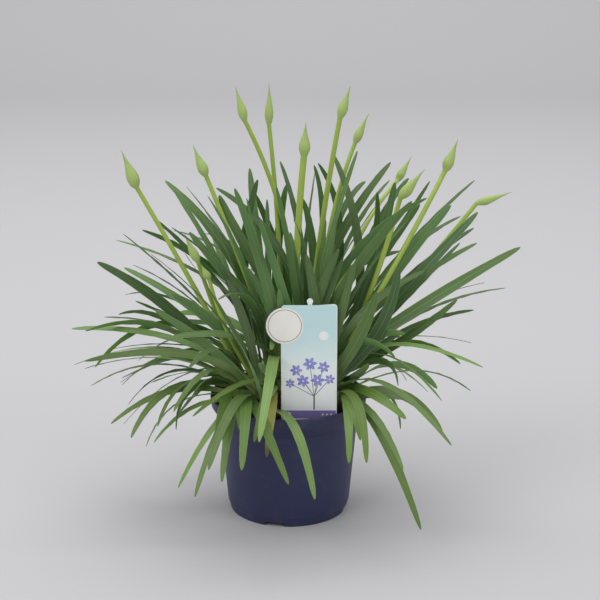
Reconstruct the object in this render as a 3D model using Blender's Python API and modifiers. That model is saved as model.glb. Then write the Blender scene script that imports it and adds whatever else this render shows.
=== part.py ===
"""Agapanthus in a round nursery pot: leafy shoots, flower scapes in bud, soil and a plain plant label.

The row frame is in metres, +Z up. The origin is the centre of the pot's base pad, which rests on the surface,
and the front of the plant faces -Y. Leaves and scapes are laid out by the points that they pass through
in a front view, and each leaf is bent a little until it is clear of everything already grown.
"""

import math
import random

import bmesh
import bpy
from mathutils import Matrix, Vector
from mathutils.bvhtree import BVHTree

MM = 0.001

# Pot
RIM_RADIUS = 95.0 * MM
POT_HEIGHT = 145.0 * MM
COLLAR_HEIGHT = 25.0 * MM
COLLAR_FOOT_RADIUS = 87.0 * MM
BODY_TOP_RADIUS = 84.6 * MM
BODY_FOOT_RADIUS = 74.6 * MM
FOOT_BAND = 11.0 * MM
WALL = 1.8 * MM
BASE_LIFT = 5.5 * MM
BASE_PAD_RADIUS = 26.0 * MM
POT_SIDES = 36
DRAIN_GATES = 4
DRAIN_GATE_WIDTH = 24.0 * MM
DRAIN_GATE_HEIGHT = 5.0 * MM
DRAIN_GATE_TURN = math.radians(-103.0)
DRAIN_HOLES = 8
DRAIN_HOLE_RADIUS = 5.0 * MM
DRAIN_HOLE_CIRCLE = 52.0 * MM

# Soil
FIT_GAP = 0.35 * MM
SOIL_EDGE_HEIGHT = 127.0 * MM
SOIL_CROWN_HEIGHT = 134.0 * MM
SOIL_RINGS = 3
SOIL_LUMP = 2.2 * MM

# Leafy shoots
SHOOTS = 17
SHOOT_CIRCLE = 68.0 * MM
SHEATH_LENGTH = 46.0 * MM
SHEATH_DEPTH = 16.0 * MM
SHEATH_HALF_WIDTH = 8.0 * MM
SHEATH_HALF_THICKNESS = 5.5 * MM
SHEATH_SIDES = 8
HOLE_MARGIN = 1.9 * MM
SHEATH_LEAN = math.radians(20.0)
GOLDEN_TURN = math.pi * (3.0 - math.sqrt(5.0))
MOST_LEAVES = 10

# Leaf blades
BLADE_THICKNESS = 0.9 * MM
BLADE_WIDTH = 12.0 * MM
BLADE_STATIONS = (0.0, 0.2, 0.44, 0.68, 0.89, 1.0)
BLADE_SHARES = (0.6, 0.84, 1.0, 0.97, 0.66, 0.0)
BLADE_FOLD = 0.10
CLEARANCE = 0.4 * MM
HANGING_DEPTH = -105
HANGING_RISE = 50.0 * MM
SIGN_STATION = 0.4
ATTEMPTS = 64
SHOOTS_TRIED = 6
LOWEST_LEAF = 9.0 * MM

# Blades of these shoots are thickened by a few steps, so that their union doesn't touch itself along an edge
JOIN_STEP = 0.006 * MM
JOIN_STEPS = {}

# Scapes
SCAPE_SIDES = 6
SCAPE_DEPTH = 18.0 * MM
SCAPE_COLLAR = 5.0 * MM

# Label
CARD_WIDTH = 65.0 * MM
CARD_HEIGHT = 142.0 * MM
CARD_THICKNESS = 0.8 * MM
CARD_CORNER = 4.0 * MM
CARD_CENTRE_X = 24.5 * MM
CARD_DEPTH = -69.0 * MM
CARD_FOOT = 135.0 * MM
BEHIND_CARD = 24.0 * MM
BADGE_RADIUS = 22.0 * MM
BADGE_X = -28.0 * MM
BADGE_Z = 116.0 * MM
STAKE_WIDTH = 5.0 * MM
STAKE_THICKNESS = 1.2 * MM
STAKE_X = 25.5 * MM
STAKE_DEPTH = 40.0 * MM
STAKE_HEAD_RADIUS = 3.6 * MM

# The front view: where its eye stands and the scale of its 600 x 600 picture
EYE = Vector((14.0 * MM, -1750.0 * MM, 764.0 * MM))
EYE_PITCH = math.radians(16.0)
EYE_LENS = 1524.0
PICTURE_CENTRE = 300.0

# Each scape: its tip, its bud's foot, a point on its stem, the depth of the tip, stem radius and bud radius in mm
SCAPES = {
    "scape_01": ((121, 150), (137, 188), (180, 262), -10, 3.0, 7.5),
    "scape_02": ((193, 145), (206, 176), (232, 240), 5, 3.0, 6.4),
    "scape_03": ((235, 86), (245, 121), (279, 205), 35, 3.0, 5.6),
    "scape_04": ((269, 82), (269, 125), (276, 200), 60, 2.9, 5.2),
    "scape_05": ((306, 122), (304, 156), (299, 215), -20, 4.2, 6.8),
    "scape_06": ((351, 85), (340, 118), (321, 232), 5, 3.3, 6.0),
    "scape_07": ((369, 113), (355, 143), (333, 215), 30, 2.8, 5.4),
    "scape_08": ((412, 156), (397, 181), (366, 225), 70, 2.7, 5.2),
    "scape_09": ((425, 169), (400, 199), (379, 268), -25, 3.2, 6.8),
    "scape_10": ((458, 139), (445, 171), (414, 230), 40, 3.2, 6.6),
    "scape_11": ((512, 192), (476, 204), (425, 265), 0, 3.0, 5.4),
    "scape_12": ((184, 233), (198, 262), (212, 302), -55, 2.7, 5.4),
    "scape_13": ((201, 264), (209, 279), (219, 311), -40, 2.5, 4.6),
}

# Each leaf seen from the front: its tip, a point on its way, the depth of its tip in mm, its width in mm,
# and how far it faces the front, from 0 (lying level) to 1 (square to the eye)
SEEN_LEAVES = (
    ((97, 262), (140, 287), -10, 13, 0.75),
    ((133, 265), (163, 280), 25, 8, 0.1),
    ((123, 234), (160, 265), 30, 8, 0.0),
    ((125, 295), (150, 293), 15, 7, 0.0),
    ((136, 303), (171, 318), 0, 8, 0.0),
    ((116, 315), (140, 311), -25, 9, 0.3),
    ((85, 331), (127, 322), -15, 11, 0.45),
    ((96, 365), (138, 332), -45, 10, 0.4),
    ((112, 349), (163, 344), 10, 8, 0.0),
    ((138, 360), (168, 341), 30, 7, 0.0),
    ((122, 385), (158, 361), -60, 9, 0.35),
    ((91, 386), (136, 367), 0, 7, 0.0),
    ((128, 405), (162, 375), -50, 9, 0.3),
    ((131, 438), (165, 393), -80, 11, 0.5),
    ((146, 447), (170, 409), -70, 8, 0.1),
    ((176, 430), (188, 393), -95, 10, 0.4),
    ((164, 426), (174, 388), -60, 9, 0.2),
    ((198, 408), (210, 388), -85, 9, 0.3),
    ((178, 488), (222, 427), -118, 8, 0.2),
    ((216, 439), (229, 402), -112, 11, 0.7),
    ((240, 430), (242, 405), -118, 7, 0.6),
    ((259, 440), (270, 412), -122, 9, 0.6),
    ((269, 456), (275, 418), -126, 11, 0.7),
    ((260, 404), (255, 380), -105, 12, 0.7),
    ((172, 294), (205, 315), -75, 12, 0.8),
    ((155, 310), (190, 333), -85, 12, 0.6),
    ((201, 354), (240, 356), -95, 10, 0.5),
    ((258, 365), (272, 372), -108, 11, 0.7),
    ((271, 350), (276, 338), -88, 10, 0.7),
    ((142, 230), (180, 247), 40, 10, 0.4),
    ((156, 213), (180, 240), 55, 9, 0.3),
    ((174, 227), (212, 243), 30, 9, 0.2),
    ((186, 230), (212, 260), 0, 13, 0.7),
    ((198, 234), (222, 238), 45, 8, 0.2),
    ((213, 185), (247, 211), 50, 10, 0.6),
    ((219, 195), (232, 222), 10, 12, 0.8),
    ((256, 177), (246, 220), 20, 12, 0.9),
    ((253, 191), (267, 222), 60, 10, 0.7),
    ((267, 199), (268, 240), -25, 8, 0.5),
    ((280, 161), (291, 195), 60, 8, 0.5),
    ((286, 185), (281, 215), 50, 11, 0.8),
    ((314, 165), (321, 195), 75, 9, 0.6),
    ((318, 163), (334, 195), 45, 10, 0.6),
    ((303, 200), (309, 225), 40, 11, 0.8),
    ((335, 156), (354, 205), 15, 11, 0.8),
    ((362, 180), (345, 200), 75, 10, 0.5),
    ((391, 162), (362, 200), 40, 12, 0.7),
    ((384, 181), (378, 220), 25, 10, 0.8),
    ((390, 180), (368, 207), 95, 8, 0.2),
    ((395, 182), (387, 218), 0, 12, 0.8),
    ((409, 178), (392, 200), 55, 10, 0.5),
    ((427, 195), (390, 225), -35, 11, 0.7),
    ((430, 181), (408, 215), 85, 7, 0.1),
    ((420, 204), (402, 228), 5, 11, 0.7),
    ((451, 205), (416, 245), -10, 14, 0.9),
    ((475, 180), (438, 214), 55, 8, 0.2),
    ((478, 212), (444, 248), 10, 13, 0.7),
    ((460, 216), (430, 232), 80, 8, 0.1),
    ((474, 228), (442, 250), 50, 10, 0.3),
    ((457, 243), (428, 270), -5, 9, 0.1),
    ((477, 243), (436, 266), 20, 10, 0.4),
    ((520, 245), (450, 284), -20, 13, 0.7),
    ((506, 288), (452, 300), 30, 9, 0.15),
    ((474, 310), (425, 322), -20, 10, 0.4),
    ((457, 300), (412, 335), -40, 12, 0.5),
    ((472, 343), (425, 336), 40, 6, 0.1),
    ((463, 373), (422, 349), -45, 11, 0.5),
    ((528, 376), (450, 359), -35, 11, 0.45),
    ((470, 416), (430, 377), -75, 10, 0.5),
    ((445, 433), (404, 394), -95, 12, 0.6),
    ((420, 398), (390, 394), -90, 10, 0.4),
    ((406, 419), (378, 396), -112, 11, 0.6),
    ((421, 530), (400, 432), -148, 11, 0.5),
    ((402, 432), (394, 402), -70, 7, 0.2),
    ((397, 387), (389, 366), -80, 8, 0.4),
    ((405, 383), (393, 368), -50, 7, 0.1),
    ((396, 357), (372, 343), -100, 10, 0.5),
    ((369, 364), (357, 346), -112, 9, 0.6),
    ((401, 334), (378, 338), -95, 11, 0.5),
    ((287, 482), (280, 415), -136, 11, 0.6),
    ((346, 458), (368, 408), -124, 11, 0.7),
    ((360, 440), (378, 402), -118, 9, 0.6),
    ((306, 254), (313, 290), -62, 12, 0.9),
    ((339, 249), (325, 280), -58, 11, 0.9),
    ((344, 259), (332, 285), -50, 10, 0.7),
    ((377, 292), (365, 325), -85, 14, 0.9),
    ((399, 268), (389, 310), -65, 14, 0.9),
    ((279, 289), (281, 310), -70, 10, 0.8),
    ((240, 262), (255, 300), -45, 11, 0.7),
    ((228, 279), (240, 310), -60, 11, 0.7),
    ((290, 232), (296, 270), -40, 10, 0.7),
    ((355, 262), (345, 300), -75, 10, 0.7),
    ((335, 215), (330, 255), -15, 10, 0.6),
)

# Leaves grown by rule, for each rank of a shoot from the outside in: rise of the chord, length and bow
RANK_RISES = (-14.0, 4.0, 22.0, 38.0, 54.0, 70.0)
RANK_LENGTHS = (166.0, 196.0, 220.0, 240.0, 256.0, 256.0)
RULE_TWIST = 38.0
RANK_BOWS = (0.20, 0.18, 0.14, 0.11, 0.08, 0.05)

COLOURS = {
    "pot": ((0.035, 0.045, 0.11), 0.42),
    "soil": ((0.035, 0.02, 0.012), 0.95),
    "leaf": ((0.06, 0.17, 0.04), 0.4),
    "scape": ((0.32, 0.48, 0.08), 0.45),
    "card": ((0.72, 0.82, 0.83), 0.35),
    "stake": ((0.85, 0.86, 0.85), 0.35),
}


# Scene and material helpers


def clear_scene():
    for obj in list(bpy.data.objects):
        bpy.data.objects.remove(obj)


def new_collection(name, parent=None):
    made = bpy.data.collections.new(name)
    (parent or bpy.context.scene.collection).children.link(made)
    return made


def principled(name):
    """The named finish, made once."""
    if name in bpy.data.materials:
        return bpy.data.materials[name]
    colour, roughness = COLOURS[name]
    made = bpy.data.materials.new(name)
    made.use_nodes = True
    shader = made.node_tree.nodes["Principled BSDF"]
    shader.inputs["Base Color"].default_value = (*colour, 1.0)
    shader.inputs["Roughness"].default_value = roughness
    shader.inputs["Metallic"].default_value = 0.0
    return made


def mesh_object(name, points, faces, material, collection):
    mesh = bpy.data.meshes.new(name)
    mesh.from_pydata([tuple(p) for p in points], [], faces)
    mesh.update()
    mesh.materials.append(principled(material))
    obj = bpy.data.objects.new(name, mesh)
    collection.objects.link(obj)
    return obj


def as_mesh(obj):
    """Replaces a curve or a modified object by its evaluated mesh, with loose caps welded."""
    graph = bpy.context.evaluated_depsgraph_get()
    mesh = bpy.data.meshes.new_from_object(obj.evaluated_get(graph))
    shell = bmesh.new()
    shell.from_mesh(mesh)
    bmesh.ops.remove_doubles(shell, verts=shell.verts, dist=0.01 * MM)
    shell.to_mesh(mesh)
    shell.free()
    name = obj.name
    made = bpy.data.objects.new(name + "_mesh", mesh)
    made.matrix_world = obj.matrix_world.copy()
    for collection in obj.users_collection:
        collection.objects.link(made)
    bpy.data.objects.remove(obj)
    made.name = name
    return made


def signed_volume(faces):
    volume = 0.0
    for face in faces:
        corners = [v.co for v in face.verts]
        for b, c in zip(corners[1:], corners[2:]):
            volume += corners[0].dot(b.cross(c)) / 6.0
    return volume


def fill_closed_gaps(mesh):
    """Drops the inner skins of gaps that joined leaves close in, so that one outer skin is left."""
    shell = bmesh.new()
    shell.from_mesh(mesh)
    bmesh.ops.triangulate(shell, faces=list(shell.faces))
    left = set(shell.faces)
    islands = []
    while left:
        island = [left.pop()]
        for face in island:
            for edge in face.edges:
                for other in edge.link_faces if len(edge.link_faces) == 2 else ():
                    if other in left:
                        left.discard(other)
                        island.append(other)
        islands.append((signed_volume(island), island))
    islands.sort(key=lambda pair: pair[0])
    for volume, island in islands[:-1]:
        bmesh.ops.delete(shell, geom=island, context="FACES")
    shell.to_mesh(mesh)
    shell.free()


def join_all(body, pieces_collection):
    """Unions every object of a collection into the body, then removes them."""
    union = body.modifiers.new("join", "BOOLEAN")
    union.operation = "UNION"
    union.operand_type = "COLLECTION"
    union.collection = pieces_collection
    union.solver = "MANIFOLD"
    bpy.context.view_layer.update()
    graph = bpy.context.evaluated_depsgraph_get()
    joined = bpy.data.meshes.new_from_object(body.evaluated_get(graph))
    body.modifiers.clear()
    fill_closed_gaps(joined)
    for piece in list(pieces_collection.objects):
        bpy.data.objects.remove(piece)
    bpy.data.collections.remove(pieces_collection)
    return joined


def as_cutter(made, cutters):
    """Moves a new object into a collection of hidden cutters."""
    for held in list(made.users_collection):
        held.objects.unlink(made)
    cutters.objects.link(made)
    made.hide_render = True
    made.display_type = "WIRE"


def cut_all(body, cutters):
    """Keeps one live difference on the body for a collection of cutters."""
    cut = body.modifiers.new("cut", "BOOLEAN")
    cut.operation = "DIFFERENCE"
    cut.operand_type = "COLLECTION"
    cut.collection = cutters
    cut.solver = "EXACT"


def round_cutter(name, centre, radius, depth, sides, cutters, squash=1.0, turn=0.0):
    bpy.ops.mesh.primitive_cylinder_add(vertices=sides, radius=radius, depth=depth, location=centre)
    made = bpy.context.object
    made.name = name
    made.scale = (1.0, squash, 1.0)
    made.rotation_euler = (0.0, 0.0, turn)
    as_cutter(made, cutters)


def turned(name, profile, sides, material, collection):
    """A closed profile of (radius, height) points turned about the Z axis."""
    mesh = bpy.data.meshes.new(name)
    count = len(profile)
    edges = [(i, (i + 1) % count) for i in range(count)]
    mesh.from_pydata([(radius, 0.0, height) for radius, height in profile], edges, [])
    mesh.materials.append(principled(material))
    obj = bpy.data.objects.new(name, mesh)
    collection.objects.link(obj)
    screw = obj.modifiers.new("turn", "SCREW")
    screw.steps = screw.render_steps = sides
    screw.use_merge_vertices = True
    screw.merge_threshold = 0.0001
    screw.use_smooth_shade = False
    return obj


# Pot and soil


def pot_outline():
    """The outer side from the lip down to the foot, as (radius, height)."""
    collar_foot = POT_HEIGHT - COLLAR_HEIGHT
    return [
        (RIM_RADIUS - 0.8 * MM, POT_HEIGHT),
        (RIM_RADIUS, POT_HEIGHT - 1.2 * MM),
        (RIM_RADIUS - 1.4 * MM, POT_HEIGHT - 0.5 * COLLAR_HEIGHT),
        (COLLAR_FOOT_RADIUS + 0.8 * MM, collar_foot + 3.0 * MM),
        (COLLAR_FOOT_RADIUS - 0.6 * MM, collar_foot),
        (BODY_TOP_RADIUS, collar_foot - 1.5 * MM),
        (BODY_FOOT_RADIUS, FOOT_BAND),
        (BODY_FOOT_RADIUS - 0.8 * MM, FOOT_BAND - 1.0 * MM),
        (BODY_FOOT_RADIUS - 3.2 * MM, 0.0),
    ]


def pot_inside():
    """The inner side from the floor up to the lip, as (radius, height)."""
    collar_foot = POT_HEIGHT - COLLAR_HEIGHT
    return [
        (BODY_FOOT_RADIUS - WALL - 0.6 * MM, BASE_LIFT + WALL),
        (BODY_TOP_RADIUS - WALL, collar_foot - 3.0 * MM),
        (COLLAR_FOOT_RADIUS - WALL - 0.4 * MM, collar_foot + 0.6 * MM),
        (RIM_RADIUS - WALL - 0.6 * MM, POT_HEIGHT - 0.5 * COLLAR_HEIGHT),
        (RIM_RADIUS - WALL - 0.2 * MM, POT_HEIGHT),
    ]


def make_pot(collection, cutters):
    """A turned shell with a raised floor on a foot ring and a centre pad, gated and drilled for drainage."""
    foot_ring_inner = BODY_FOOT_RADIUS - 3.2 * MM - WALL
    underside = [
        (foot_ring_inner, 0.0),
        (foot_ring_inner, BASE_LIFT),
        (BASE_PAD_RADIUS, BASE_LIFT),
        (BASE_PAD_RADIUS, 0.0),
        (0.0, 0.0),
        (0.0, BASE_LIFT + WALL),
    ]
    pot = turned("pot", pot_outline() + underside + pot_inside(), POT_SIDES, "pot", collection)
    for i in range(DRAIN_GATES):
        turn = DRAIN_GATE_TURN + i * math.tau / DRAIN_GATES
        out = Vector((math.cos(turn), math.sin(turn), 0.0))
        bpy.ops.mesh.primitive_cube_add(size=1.0, location=out * (BODY_FOOT_RADIUS - 3.0 * MM))
        gate = bpy.context.object
        gate.name = f"gate_{i}"
        gate.scale = (12.0 * MM, DRAIN_GATE_WIDTH, 2.0 * DRAIN_GATE_HEIGHT)
        gate.rotation_euler = (0.0, 0.0, turn)
        as_cutter(gate, cutters)
    for i in range(DRAIN_HOLES):
        turn = DRAIN_GATE_TURN + (i + 0.5) * math.tau / DRAIN_HOLES
        centre = Vector((math.cos(turn), math.sin(turn), 0.0)) * DRAIN_HOLE_CIRCLE
        centre.z = BASE_LIFT + 0.5 * WALL
        round_cutter(f"drain_{i}", centre, DRAIN_HOLE_RADIUS, 6.0 * WALL, 8, cutters)
    cut_all(pot, cutters)
    return pot


def wall_radius(height):
    """The pot's inner radius at a height."""
    inside = pot_inside()
    for (r0, z0), (r1, z1) in zip(inside, inside[1:]):
        if height <= z1:
            return r0 + (r1 - r0) * (height - z0) / (z1 - z0)
    return inside[-1][0]


def soil_height(x, y):
    """The lumpy top of the soil, highest in the middle."""
    share = min(1.0, math.hypot(x, y) / wall_radius(SOIL_EDGE_HEIGHT))
    dome = SOIL_CROWN_HEIGHT + (SOIL_EDGE_HEIGHT - SOIL_CROWN_HEIGHT) * share**2
    lump = math.sin(x * 210.0 + 1.3) * math.cos(y * 260.0) + 0.6 * math.sin((x + y) * 390.0)
    return dome + 0.5 * SOIL_LUMP * lump * (1.0 - 0.6 * share)


def make_soil(collection, cutters):
    """A solid plug of soil that fits the pot's inside, with a lumpy top and a plain hole for each stem."""
    floor = BASE_LIFT + WALL + FIT_GAP
    points = []
    for k in range(SOIL_RINGS):
        share = (k + 1) / SOIL_RINGS
        radius = share * (wall_radius(SOIL_EDGE_HEIGHT) - FIT_GAP - 0.5 * MM)
        for s in range(POT_SIDES):
            turn = s * math.tau / POT_SIDES
            x, y = radius * math.cos(turn), radius * math.sin(turn)
            points.append((x, y, soil_height(x, y)))
    collar_foot = POT_HEIGHT - COLLAR_HEIGHT
    for height in (collar_foot - 3.0 * MM, floor):
        radius = wall_radius(height) - FIT_GAP - 0.5 * MM
        for s in range(POT_SIDES):
            turn = s * math.tau / POT_SIDES
            points.append((radius * math.cos(turn), radius * math.sin(turn), height))
    crown = len(points)
    points.append((0.0, 0.0, soil_height(0.0, 0.0)))
    base = len(points)
    points.append((0.0, 0.0, floor))
    faces = []
    for s in range(POT_SIDES):
        nxt = (s + 1) % POT_SIDES
        faces.append((crown, s, nxt))
        for k in range(SOIL_RINGS + 1):
            a, b = k * POT_SIDES, (k + 1) * POT_SIDES
            faces.append((a + s, b + s, b + nxt))
            faces.append((a + s, b + nxt, a + nxt))
        last = (SOIL_RINGS + 1) * POT_SIDES
        faces.append((base, last + nxt, last + s))
    soil = mesh_object("soil", points, faces, "soil", collection)
    cut_all(soil, cutters)
    return soil


# Label


def card_outline():
    """The card's outline, anticlockwise from its foot, with a round badge standing out at its upper left."""
    half = 0.5 * CARD_WIDTH
    points = []

    def corner(cx, cz, start):
        for i in range(4):
            turn = math.radians(start + 30.0 * i)
            points.append((cx + CARD_CORNER * math.cos(turn), cz + CARD_CORNER * math.sin(turn)))

    corner(-half + CARD_CORNER, CARD_CORNER, 180.0)
    corner(half - CARD_CORNER, CARD_CORNER, 270.0)
    corner(half - CARD_CORNER, CARD_HEIGHT - CARD_CORNER, 0.0)
    enter = math.acos((CARD_HEIGHT - BADGE_Z) / BADGE_RADIUS) if CARD_HEIGHT - BADGE_Z < BADGE_RADIUS else 0.0
    first = math.radians(90.0) - enter
    last = math.radians(180.0) + math.asin(math.sqrt(1.0 - ((-half - BADGE_X) / BADGE_RADIUS) ** 2))
    for i in range(15):
        turn = first + (last - first) * i / 14
        points.append((BADGE_X + BADGE_RADIUS * math.cos(turn), BADGE_Z + BADGE_RADIUS * math.sin(turn)))
    return points


def flat_plate(name, outline, thickness, origin, material, collection):
    """A filled outline in the X-Z plane, extruded along Y about its own plane."""
    curve = bpy.data.curves.new(name, "CURVE")
    curve.dimensions = "2D"
    curve.fill_mode = "BOTH"
    curve.extrude = 0.5 * thickness
    spline = curve.splines.new("POLY")
    spline.points.add(len(outline) - 1)
    for point, (x, z) in zip(spline.points, outline):
        point.co = (x, z, 0.0, 1.0)
    spline.use_cyclic_u = True
    curve.materials.append(principled(material))
    obj = bpy.data.objects.new(name, curve)
    obj.location = origin
    obj.rotation_euler = (math.radians(90.0), 0.0, 0.0)
    collection.objects.link(obj)
    bpy.context.view_layer.update()
    return as_mesh(obj)


def stake_outline():
    """A flat strip, pointed in the soil, with a round head above the card."""
    half = 0.5 * STAKE_WIDTH
    soil_top = soil_height(STAKE_X, CARD_DEPTH)
    foot = soil_top - STAKE_DEPTH
    head_z = CARD_FOOT + CARD_HEIGHT + 3.0 * MM
    points = [(0.0, foot), (half, foot + 2.4 * STAKE_WIDTH)]
    neck = math.asin(min(1.0, half / STAKE_HEAD_RADIUS))
    for i in range(11):
        turn = -math.radians(90.0) + neck + (math.tau - 2.0 * neck) * i / 10
        points.append((STAKE_HEAD_RADIUS * math.cos(turn), head_z + STAKE_HEAD_RADIUS * math.sin(turn)))
    points.append((-half, foot + 2.4 * STAKE_WIDTH))
    return points


def stake_y():
    return CARD_DEPTH + 0.5 * (CARD_THICKNESS + STAKE_THICKNESS) + 0.3 * MM


def make_label(collection):
    """The card stands in front of the stake that carries it, face to face."""
    card = flat_plate(
        "label_card",
        card_outline(),
        CARD_THICKNESS,
        (CARD_CENTRE_X, CARD_DEPTH, CARD_FOOT),
        "card",
        collection,
    )
    stake = flat_plate(
        "label_stake",
        stake_outline(),
        STAKE_THICKNESS,
        (STAKE_X, stake_y(), 0.0),
        "stake",
        collection,
    )
    return card, stake


def label_sight():
    """The space between the card and the eye, which no leaf grows across."""
    half = 0.5 * CARD_WIDTH - 1.5 * MM
    near = CARD_DEPTH - 3.0 * MM
    left = CARD_CENTRE_X + BADGE_X - BADGE_RADIUS
    corners = [
        Vector((left, near, CARD_FOOT + BADGE_Z - 0.8 * BADGE_RADIUS)),
        Vector((CARD_CENTRE_X + half, near, CARD_FOOT + BADGE_Z - 0.8 * BADGE_RADIUS)),
        Vector((CARD_CENTRE_X + half, near, CARD_FOOT + CARD_HEIGHT)),
        Vector((left, near, CARD_FOOT + CARD_HEIGHT)),
        Vector((CARD_CENTRE_X - half, near, CARD_FOOT + 14.0 * MM)),
        Vector((CARD_CENTRE_X + half, near, CARD_FOOT + 14.0 * MM)),
        Vector((CARD_CENTRE_X + half, near, CARD_FOOT + BADGE_Z)),
        Vector((CARD_CENTRE_X - half, near, CARD_FOOT + BADGE_Z)),
    ]
    points = [base + (EYE - base) * reach for base in corners for reach in (0.0, 0.2)]
    faces = []
    for first in (0, 4):
        for i in range(4):
            a, b = 2 * (first + i), 2 * (first + (i + 1) % 4)
            faces.append((a, b, b + 1, a + 1))
    step = 9.0 * MM
    rows = int((CARD_HEIGHT - 15.0 * MM) / step)
    for k in range(rows):
        height = CARD_FOOT + 15.0 * MM + k * step
        base = [Vector((CARD_CENTRE_X + side * half, near, height)) for side in (-1.0, 1.0)]
        start = len(points)
        points += base + [base[1] + (EYE - base[1]) * 0.2, base[0] + (EYE - base[0]) * 0.2]
        faces.append((start, start + 1, start + 2, start + 3))
    return points, faces


# Front view


def from_view(spot, depth):
    """The row-frame point at a depth (Y) that a front-view picture coordinate shows."""
    across = (spot[0] - PICTURE_CENTRE) / EYE_LENS
    up = (PICTURE_CENTRE - spot[1]) / EYE_LENS
    forward = Vector((0.0, math.cos(EYE_PITCH), -math.sin(EYE_PITCH)))
    above = Vector((0.0, math.sin(EYE_PITCH), math.cos(EYE_PITCH)))
    ray = forward + Vector((across, 0.0, 0.0)) + above * up
    return EYE + ray * ((depth - EYE.y) / ray.y)


# Shoots


def shoot_spots():
    """Foot and lean of each shoot, spread evenly over the soil by the golden angle."""
    spots = []
    for i in range(SHOOTS):
        radius = SHOOT_CIRCLE * math.sqrt((i + 0.5) / SHOOTS)
        turn = i * GOLDEN_TURN + 0.6
        x, y = radius * math.cos(turn), radius * math.sin(turn)
        if abs(x - CARD_CENTRE_X) < 0.5 * CARD_WIDTH + SHEATH_HALF_WIDTH:
            y = max(y, CARD_DEPTH + BEHIND_CARD)
        foot = Vector((x, y, soil_height(x, y)))
        out = math.atan2(y, x)
        lean = SHEATH_LEAN * math.hypot(x, y) / SHOOT_CIRCLE
        axis = Vector((math.cos(out) * math.sin(lean), math.sin(out) * math.sin(lean), math.cos(lean)))
        spots.append((foot, axis, turn + math.radians(70.0) * (-1) ** i))
    return spots


def ring(centre, across, deep, half_width, half_depth, sides):
    return [
        centre
        + across * (half_width * math.cos(k * math.tau / sides))
        + deep * (half_depth * math.sin(k * math.tau / sides))
        for k in range(sides)
    ]


def loft(rings, tip=None):
    """Closed faces over rings of equal count, capped flat or brought to a tip."""
    sides = len(rings[0])
    points = [p for r in rings for p in r]
    faces = []
    for k in range(len(rings) - 1):
        a, b = k * sides, (k + 1) * sides
        for s in range(sides):
            nxt = (s + 1) % sides
            faces.append((a + s, a + nxt, b + nxt))
            faces.append((a + s, b + nxt, b + s))
    faces.append(tuple(range(sides))[::-1])
    last = (len(rings) - 1) * sides
    if tip is None:
        faces.append(tuple(last + s for s in range(sides)))
    else:
        points.append(tip)
        faces += [(last + s, last + (s + 1) % sides, len(points) - 1) for s in range(sides)]
    return points, faces


def sheath_mesh(spot):
    """The thick, flattened foot of a shoot, where its leaves wrap each other."""
    foot, axis, turn = spot
    across = Vector((math.cos(turn), math.sin(turn), 0.0))
    across = (across - axis * across.dot(axis)).normalized()
    deep = axis.cross(across)
    steps = ((-SHEATH_DEPTH, 0.85), (0.0, 1.0), (0.45 * SHEATH_LENGTH, 0.95), (SHEATH_LENGTH, 0.5))
    level = Vector((math.cos(turn), math.sin(turn), 0.0)), Vector((-math.sin(turn), math.cos(turn), 0.0))
    rings = []
    for rise, share in steps:
        centre = foot + (Vector((0.0, 0.0, rise)) if rise <= 0.0 else axis * rise)
        wide, thin = level if rise <= 0.0 else (across, deep)
        half = SHEATH_HALF_WIDTH * share, SHEATH_HALF_THICKNESS * share
        rings.append(ring(centre, wide, thin, *half, SHEATH_SIDES))
    return loft(rings)


# Leaves


def bezier(a, b, c, t):
    return a * ((1 - t) ** 2) + b * (2 * t * (1 - t)) + c * (t * t)


def bezier_slope(a, b, c, t):
    return ((b - a) * (1 - t) + (c - b) * t).normalized()


def blade_facing(leaf, t):
    """Place and slope of a blade at t, its level normal, and the direction square to it that meets the eye."""
    root, bend, tip = leaf[:3]
    plane = (bend - root).cross(tip - bend)
    if plane.length < 1e-9:
        plane = Vector((0.0, 1.0, 0.0))
    at = bezier(root, bend, tip, t)
    slope = bezier_slope(root, bend, tip, t)
    eye = EYE - at
    return at, slope, slope.cross(plane).normalized(), (eye - slope * eye.dot(slope)).normalized()


def blade_mesh(leaf, grow=0.0):
    """The folded strap of one leaf, as points and faces, with both faces split alike."""
    width, face, roll = leaf[3:]
    _, _, level, square = blade_facing(leaf, SIGN_STATION)
    upward = 1.0 if level.z > 0.0 else -1.0
    forward = 1.0 if square.dot(level) * upward > 0.0 else -1.0
    points = []
    for t, share in zip(BLADE_STATIONS, BLADE_SHARES):
        at, slope, level, square = blade_facing(leaf, t)
        normal = (level * (upward * (1.0 - face)) + square * (forward * face)).normalized()
        normal = (Matrix.Rotation(roll * t, 3, slope) @ normal).normalized()
        side = normal.cross(slope).normalized()
        if share == 0.0:
            points.append(at + slope * grow)
            continue
        half = 0.5 * width * share + grow
        fold = BLADE_FOLD * width * share * (1.15 - t)
        thick = 0.5 * BLADE_THICKNESS * (1.0 if t < 0.9 else 0.8) + grow
        points += [
            at + side * half + normal * fold,
            at + normal * thick,
            at - side * half + normal * fold,
            at - normal * thick,
        ]
    faces = [(3, 2, 1, 0)]
    full = len(BLADE_STATIONS) - 1
    for k in range(full - 1):
        a, b = 4 * k, 4 * (k + 1)
        for s in range(4):
            nxt = (s + 1) % 4
            if s in (0, 2):
                faces.append((a + s, a + nxt, b + nxt))
                faces.append((a + s, b + nxt, b + s))
            else:
                faces.append((a + s, a + nxt, b + s))
                faces.append((a + nxt, b + nxt, b + s))
    last = 4 * (full - 1)
    faces += [(last + s, last + (s + 1) % 4, len(points) - 1) for s in range(4)]
    return points, faces


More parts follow.
